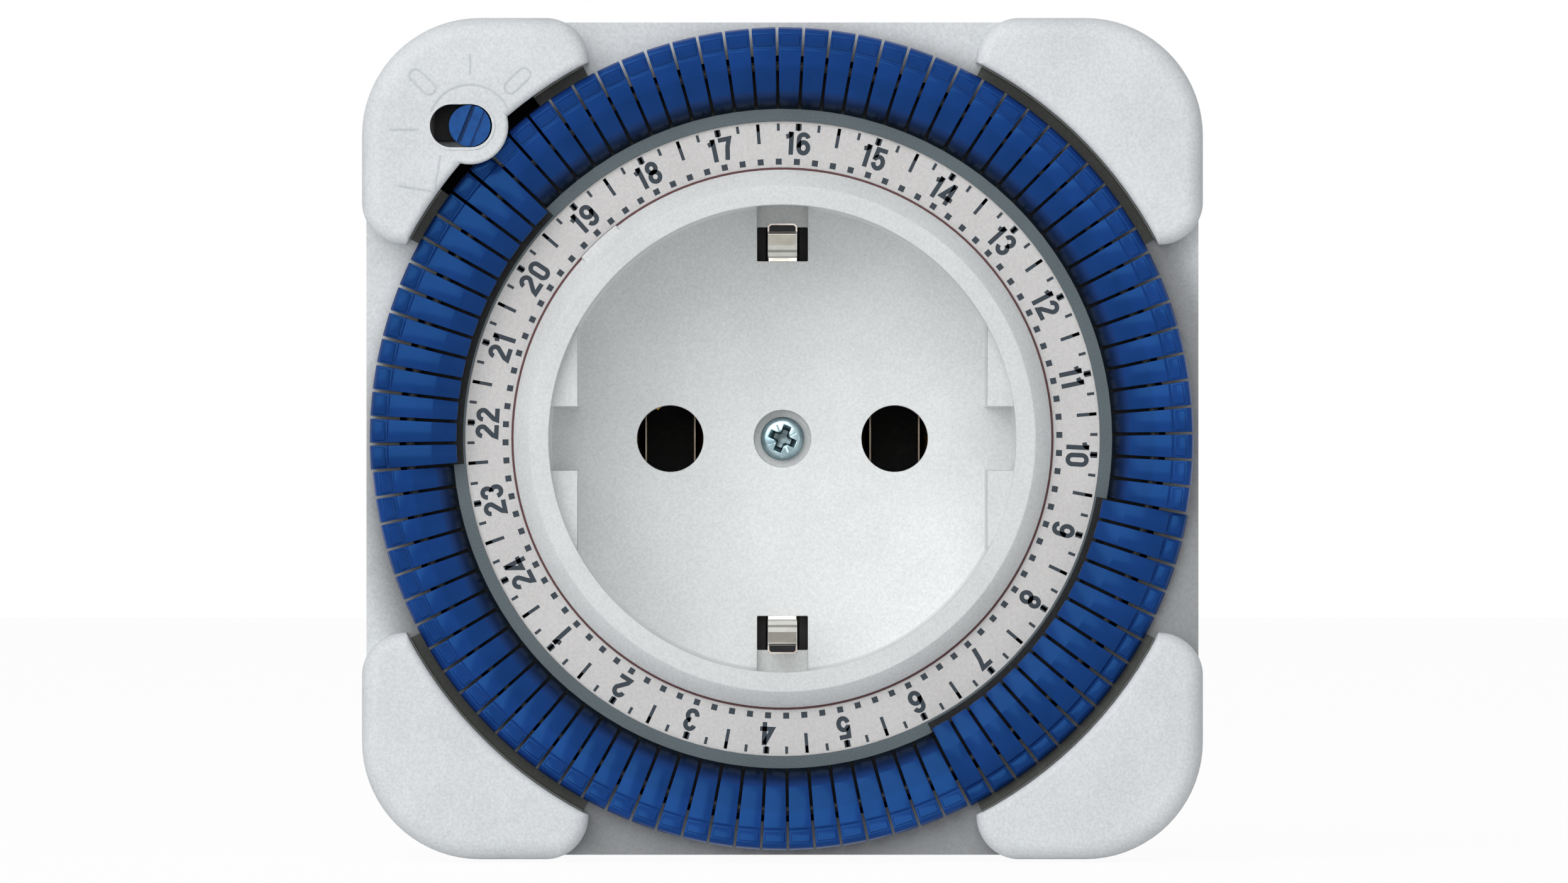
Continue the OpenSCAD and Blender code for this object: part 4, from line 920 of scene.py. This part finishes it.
makePadMarks(markPlan)

innerLinePlan = {"inner": 22.47, "outer": 22.6, "low": 48.1, "high": 48.34}

# Painted shade: a thin maroon line in the gap between the scale and the rim of the socket
makePiece("innerLine", latheMesh("innerLine", squareRing(innerLinePlan)), maroonGapShade, "dial")

# Centre screw
screwPlan = {"headRadius": 1.85, "headTop": 32.3, "headHeight": 1.3, "shank": 1.3, "bottom": 22.05,
             "turn": 23, "edge": 0.04,
             "dome": ((0.45, 0.02), (0.72, 0.07), (0.87, 0.16), (0.96, 0.32), (1, 0.52)),
             "wing": {"inner": 0, "reach": 1.36, "width": 0.78, "depth": 1.0, "taper": 0.55},
             "notch": {"inner": 0.55, "reach": 1.292, "width": 0.16, "depth": 0.12, "taper": 0.9},
             "hub": {"foot": 0.42, "mouth": 0.72, "height": 1.3, "sunk": 0.45}}


def makeScrew(plan):
    top = plan["headTop"]
    radius = plan["headRadius"]
    side = [(radius * share, top - drop) for share, drop in plan["dome"]]
    side += [(radius, top - plan["headHeight"]), (plan["shank"], top - plan["headHeight"]),
             (plan["shank"], plan["bottom"])]
    bm = bmesh.new()
    segments = 64
    rings = [[bm.verts.new(onDial(r, 360 * k / segments, z)) for r, z in side] for k in range(segments)]
    tip, foot = bm.verts.new(place(0, 0, top)), bm.verts.new(place(0, 0, plan["bottom"]))
    for k in range(segments):
        a, b = rings[k], rings[(k + 1) % segments]
        bm.faces.new([tip, a[0], b[0]])
        bm.faces.new([foot, b[-1], a[-1]])
        for i in range(len(a) - 1):
            bm.faces.new([a[i], a[i + 1], b[i + 1], b[i]])
    screw = bpy.data.objects.new("crossScrew", meshFrom(bm, "centreScrewHead"))
    bpy.context.collection.objects.link(screw)
    # Tapered cross with four small notches between its wings
    cut = bmesh.new()
    for k in range(8):
        part = plan["notch"] if k % 2 else plan["wing"]
        inner, reach, taper, half = part["inner"], part["reach"], part["taper"], part["width"] / 2
        turn = Matrix.Rotation(math.radians(plan["turn"] + 45 * k), 4, "Y")
        low, high = [], []
        for x, z in ((-half, inner), (half, inner), (half, reach), (-half, reach)):
            high.append(cut.verts.new(turn @ place(x, z, top + 0.3)))
            low.append(cut.verts.new(turn @ place(x * taper, inner + (z - inner) * taper,
                                                  top - part["depth"])))
        cut.faces.new(low)
        cut.faces.new(list(reversed(high)))
        for i in range(4):
            j = (i + 1) % 4
            cut.faces.new([low[i], high[i], high[j], low[j]])
    hub = plan["hub"]
    cone = bmesh.ops.create_cone(cut, cap_ends=True, segments=24, radius1=hub["foot"] * mm,
                                 radius2=hub["mouth"] * mm, depth=hub["height"] * mm)
    seat = Matrix.Translation(place(0, 0, top - hub["sunk"])) @ Matrix.Rotation(math.radians(90), 4, "X")
    bmesh.ops.transform(cut, matrix=seat, verts=cone["verts"])
    cutter = bpy.data.objects.new("crossCutter", meshFrom(cut, "crossCutter"))
    bpy.context.collection.objects.link(cutter)
    carve = screw.modifiers.new("carve", "BOOLEAN")
    carve.object = cutter
    carve.operation = "DIFFERENCE"
    carve.solver = "EXACT"
    carve.use_self = True
    rounding = screw.modifiers.new("softEdges", "BEVEL")
    rounding.width = plan["edge"] * mm
    rounding.segments = 2
    rounding.limit_method = "ANGLE"
    graph = bpy.context.evaluated_depsgraph_get()
    mesh = bpy.data.meshes.new_from_object(screw.evaluated_get(graph))
    bpy.data.objects.remove(screw, do_unlink=True)
    bpy.data.objects.remove(cutter, do_unlink=True)
    smoothByAngle(mesh, 35)
    piece = makePiece("centreScrewHead", mesh, screwZinc, "housing")
    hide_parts("centre_screw")


makeScrew(screwPlan)
print("screw is ready")

# Clips and contacts
clipPlan = {"half": 1.17, "from": 17.32, "top": 17.92, "corner": 0.3, "width": 0.13, "height": 45.95,
            "thickness": 0.1, "slotFrom": 17.3, "slotThickness": 0.05}


# Bright outer lip of each earth clip, and a black sheet of painted shade in the slot inside it
def makeClipLips(plan):
    half, top, corner = plan["half"], plan["top"], plan["corner"]
    line = [(-half, plan["from"])] + bow(-half + corner, top - corner, corner, corner, 180, 90, 8)
    line += [(-x, y) for x, y in reversed(line)]
    slotMiddle, slotHeight = (plan["slotFrom"] + top) / 2, top - plan["slotFrom"]
    lips, slotShadeSheets = bmesh.new(), bmesh.new()
    for side in (-1, 1):

        def ontoClip(x, y, z):
            return place(x, side * y, plan["height"] + z)

        ribbon(lips, line, plan["width"], False, ontoClip, plan["thickness"])
        ribbon(slotShadeSheets, [(-half, slotMiddle), (half, slotMiddle)], slotHeight, False, ontoClip,
               plan["slotThickness"])
    makePiece("clipLips", meshFrom(lips, "clipLips"), lipMetal, "housing")
    makePiece("clipShades", meshFrom(slotShadeSheets, "clipShades"), shadeBlack, "housing")


leafPlan = {"pitch": 19, "inner": 2.0, "half": 1.9, "thickness": 0.13,
            "bow": ((25.0, 0.62), (26.0, 0.3), (27.0, 0.08), (28.0, 0), (29.3, 0))}


# Sprung bow of each contact leaf, which narrows the way of the pin
def makeContactBows(plan):
    bm = bmesh.new()
    half = plan["half"]
    for centre in (-plan["pitch"] / 2, plan["pitch"] / 2):
        for side in (-1, 1):
            sections = []
            for z, out in plan["bow"]:
                near = centre + side * (plan["inner"] + out)
                far = near + side * plan["thickness"]
                corners = ((near, -half), (near, half), (far, half), (far, -half))
                sections.append([bm.verts.new(place(x, y, z)) for x, y in corners])
            bm.faces.new(sections[0])
            bm.faces.new(list(reversed(sections[-1])))
            for a, b in zip(sections, sections[1:]):
                for k in range(4):
                    bm.faces.new([a[k], a[(k + 1) % 4], b[(k + 1) % 4], b[k]])
    mesh = meshFrom(bm, "contactBows")
    smoothByAngle(mesh, 40)
    makePiece("contactBows", mesh, leafMetal, "housing")


makeClipLips(clipPlan)
makeContactBows(leafPlan)
print("clips and contacts are ready")
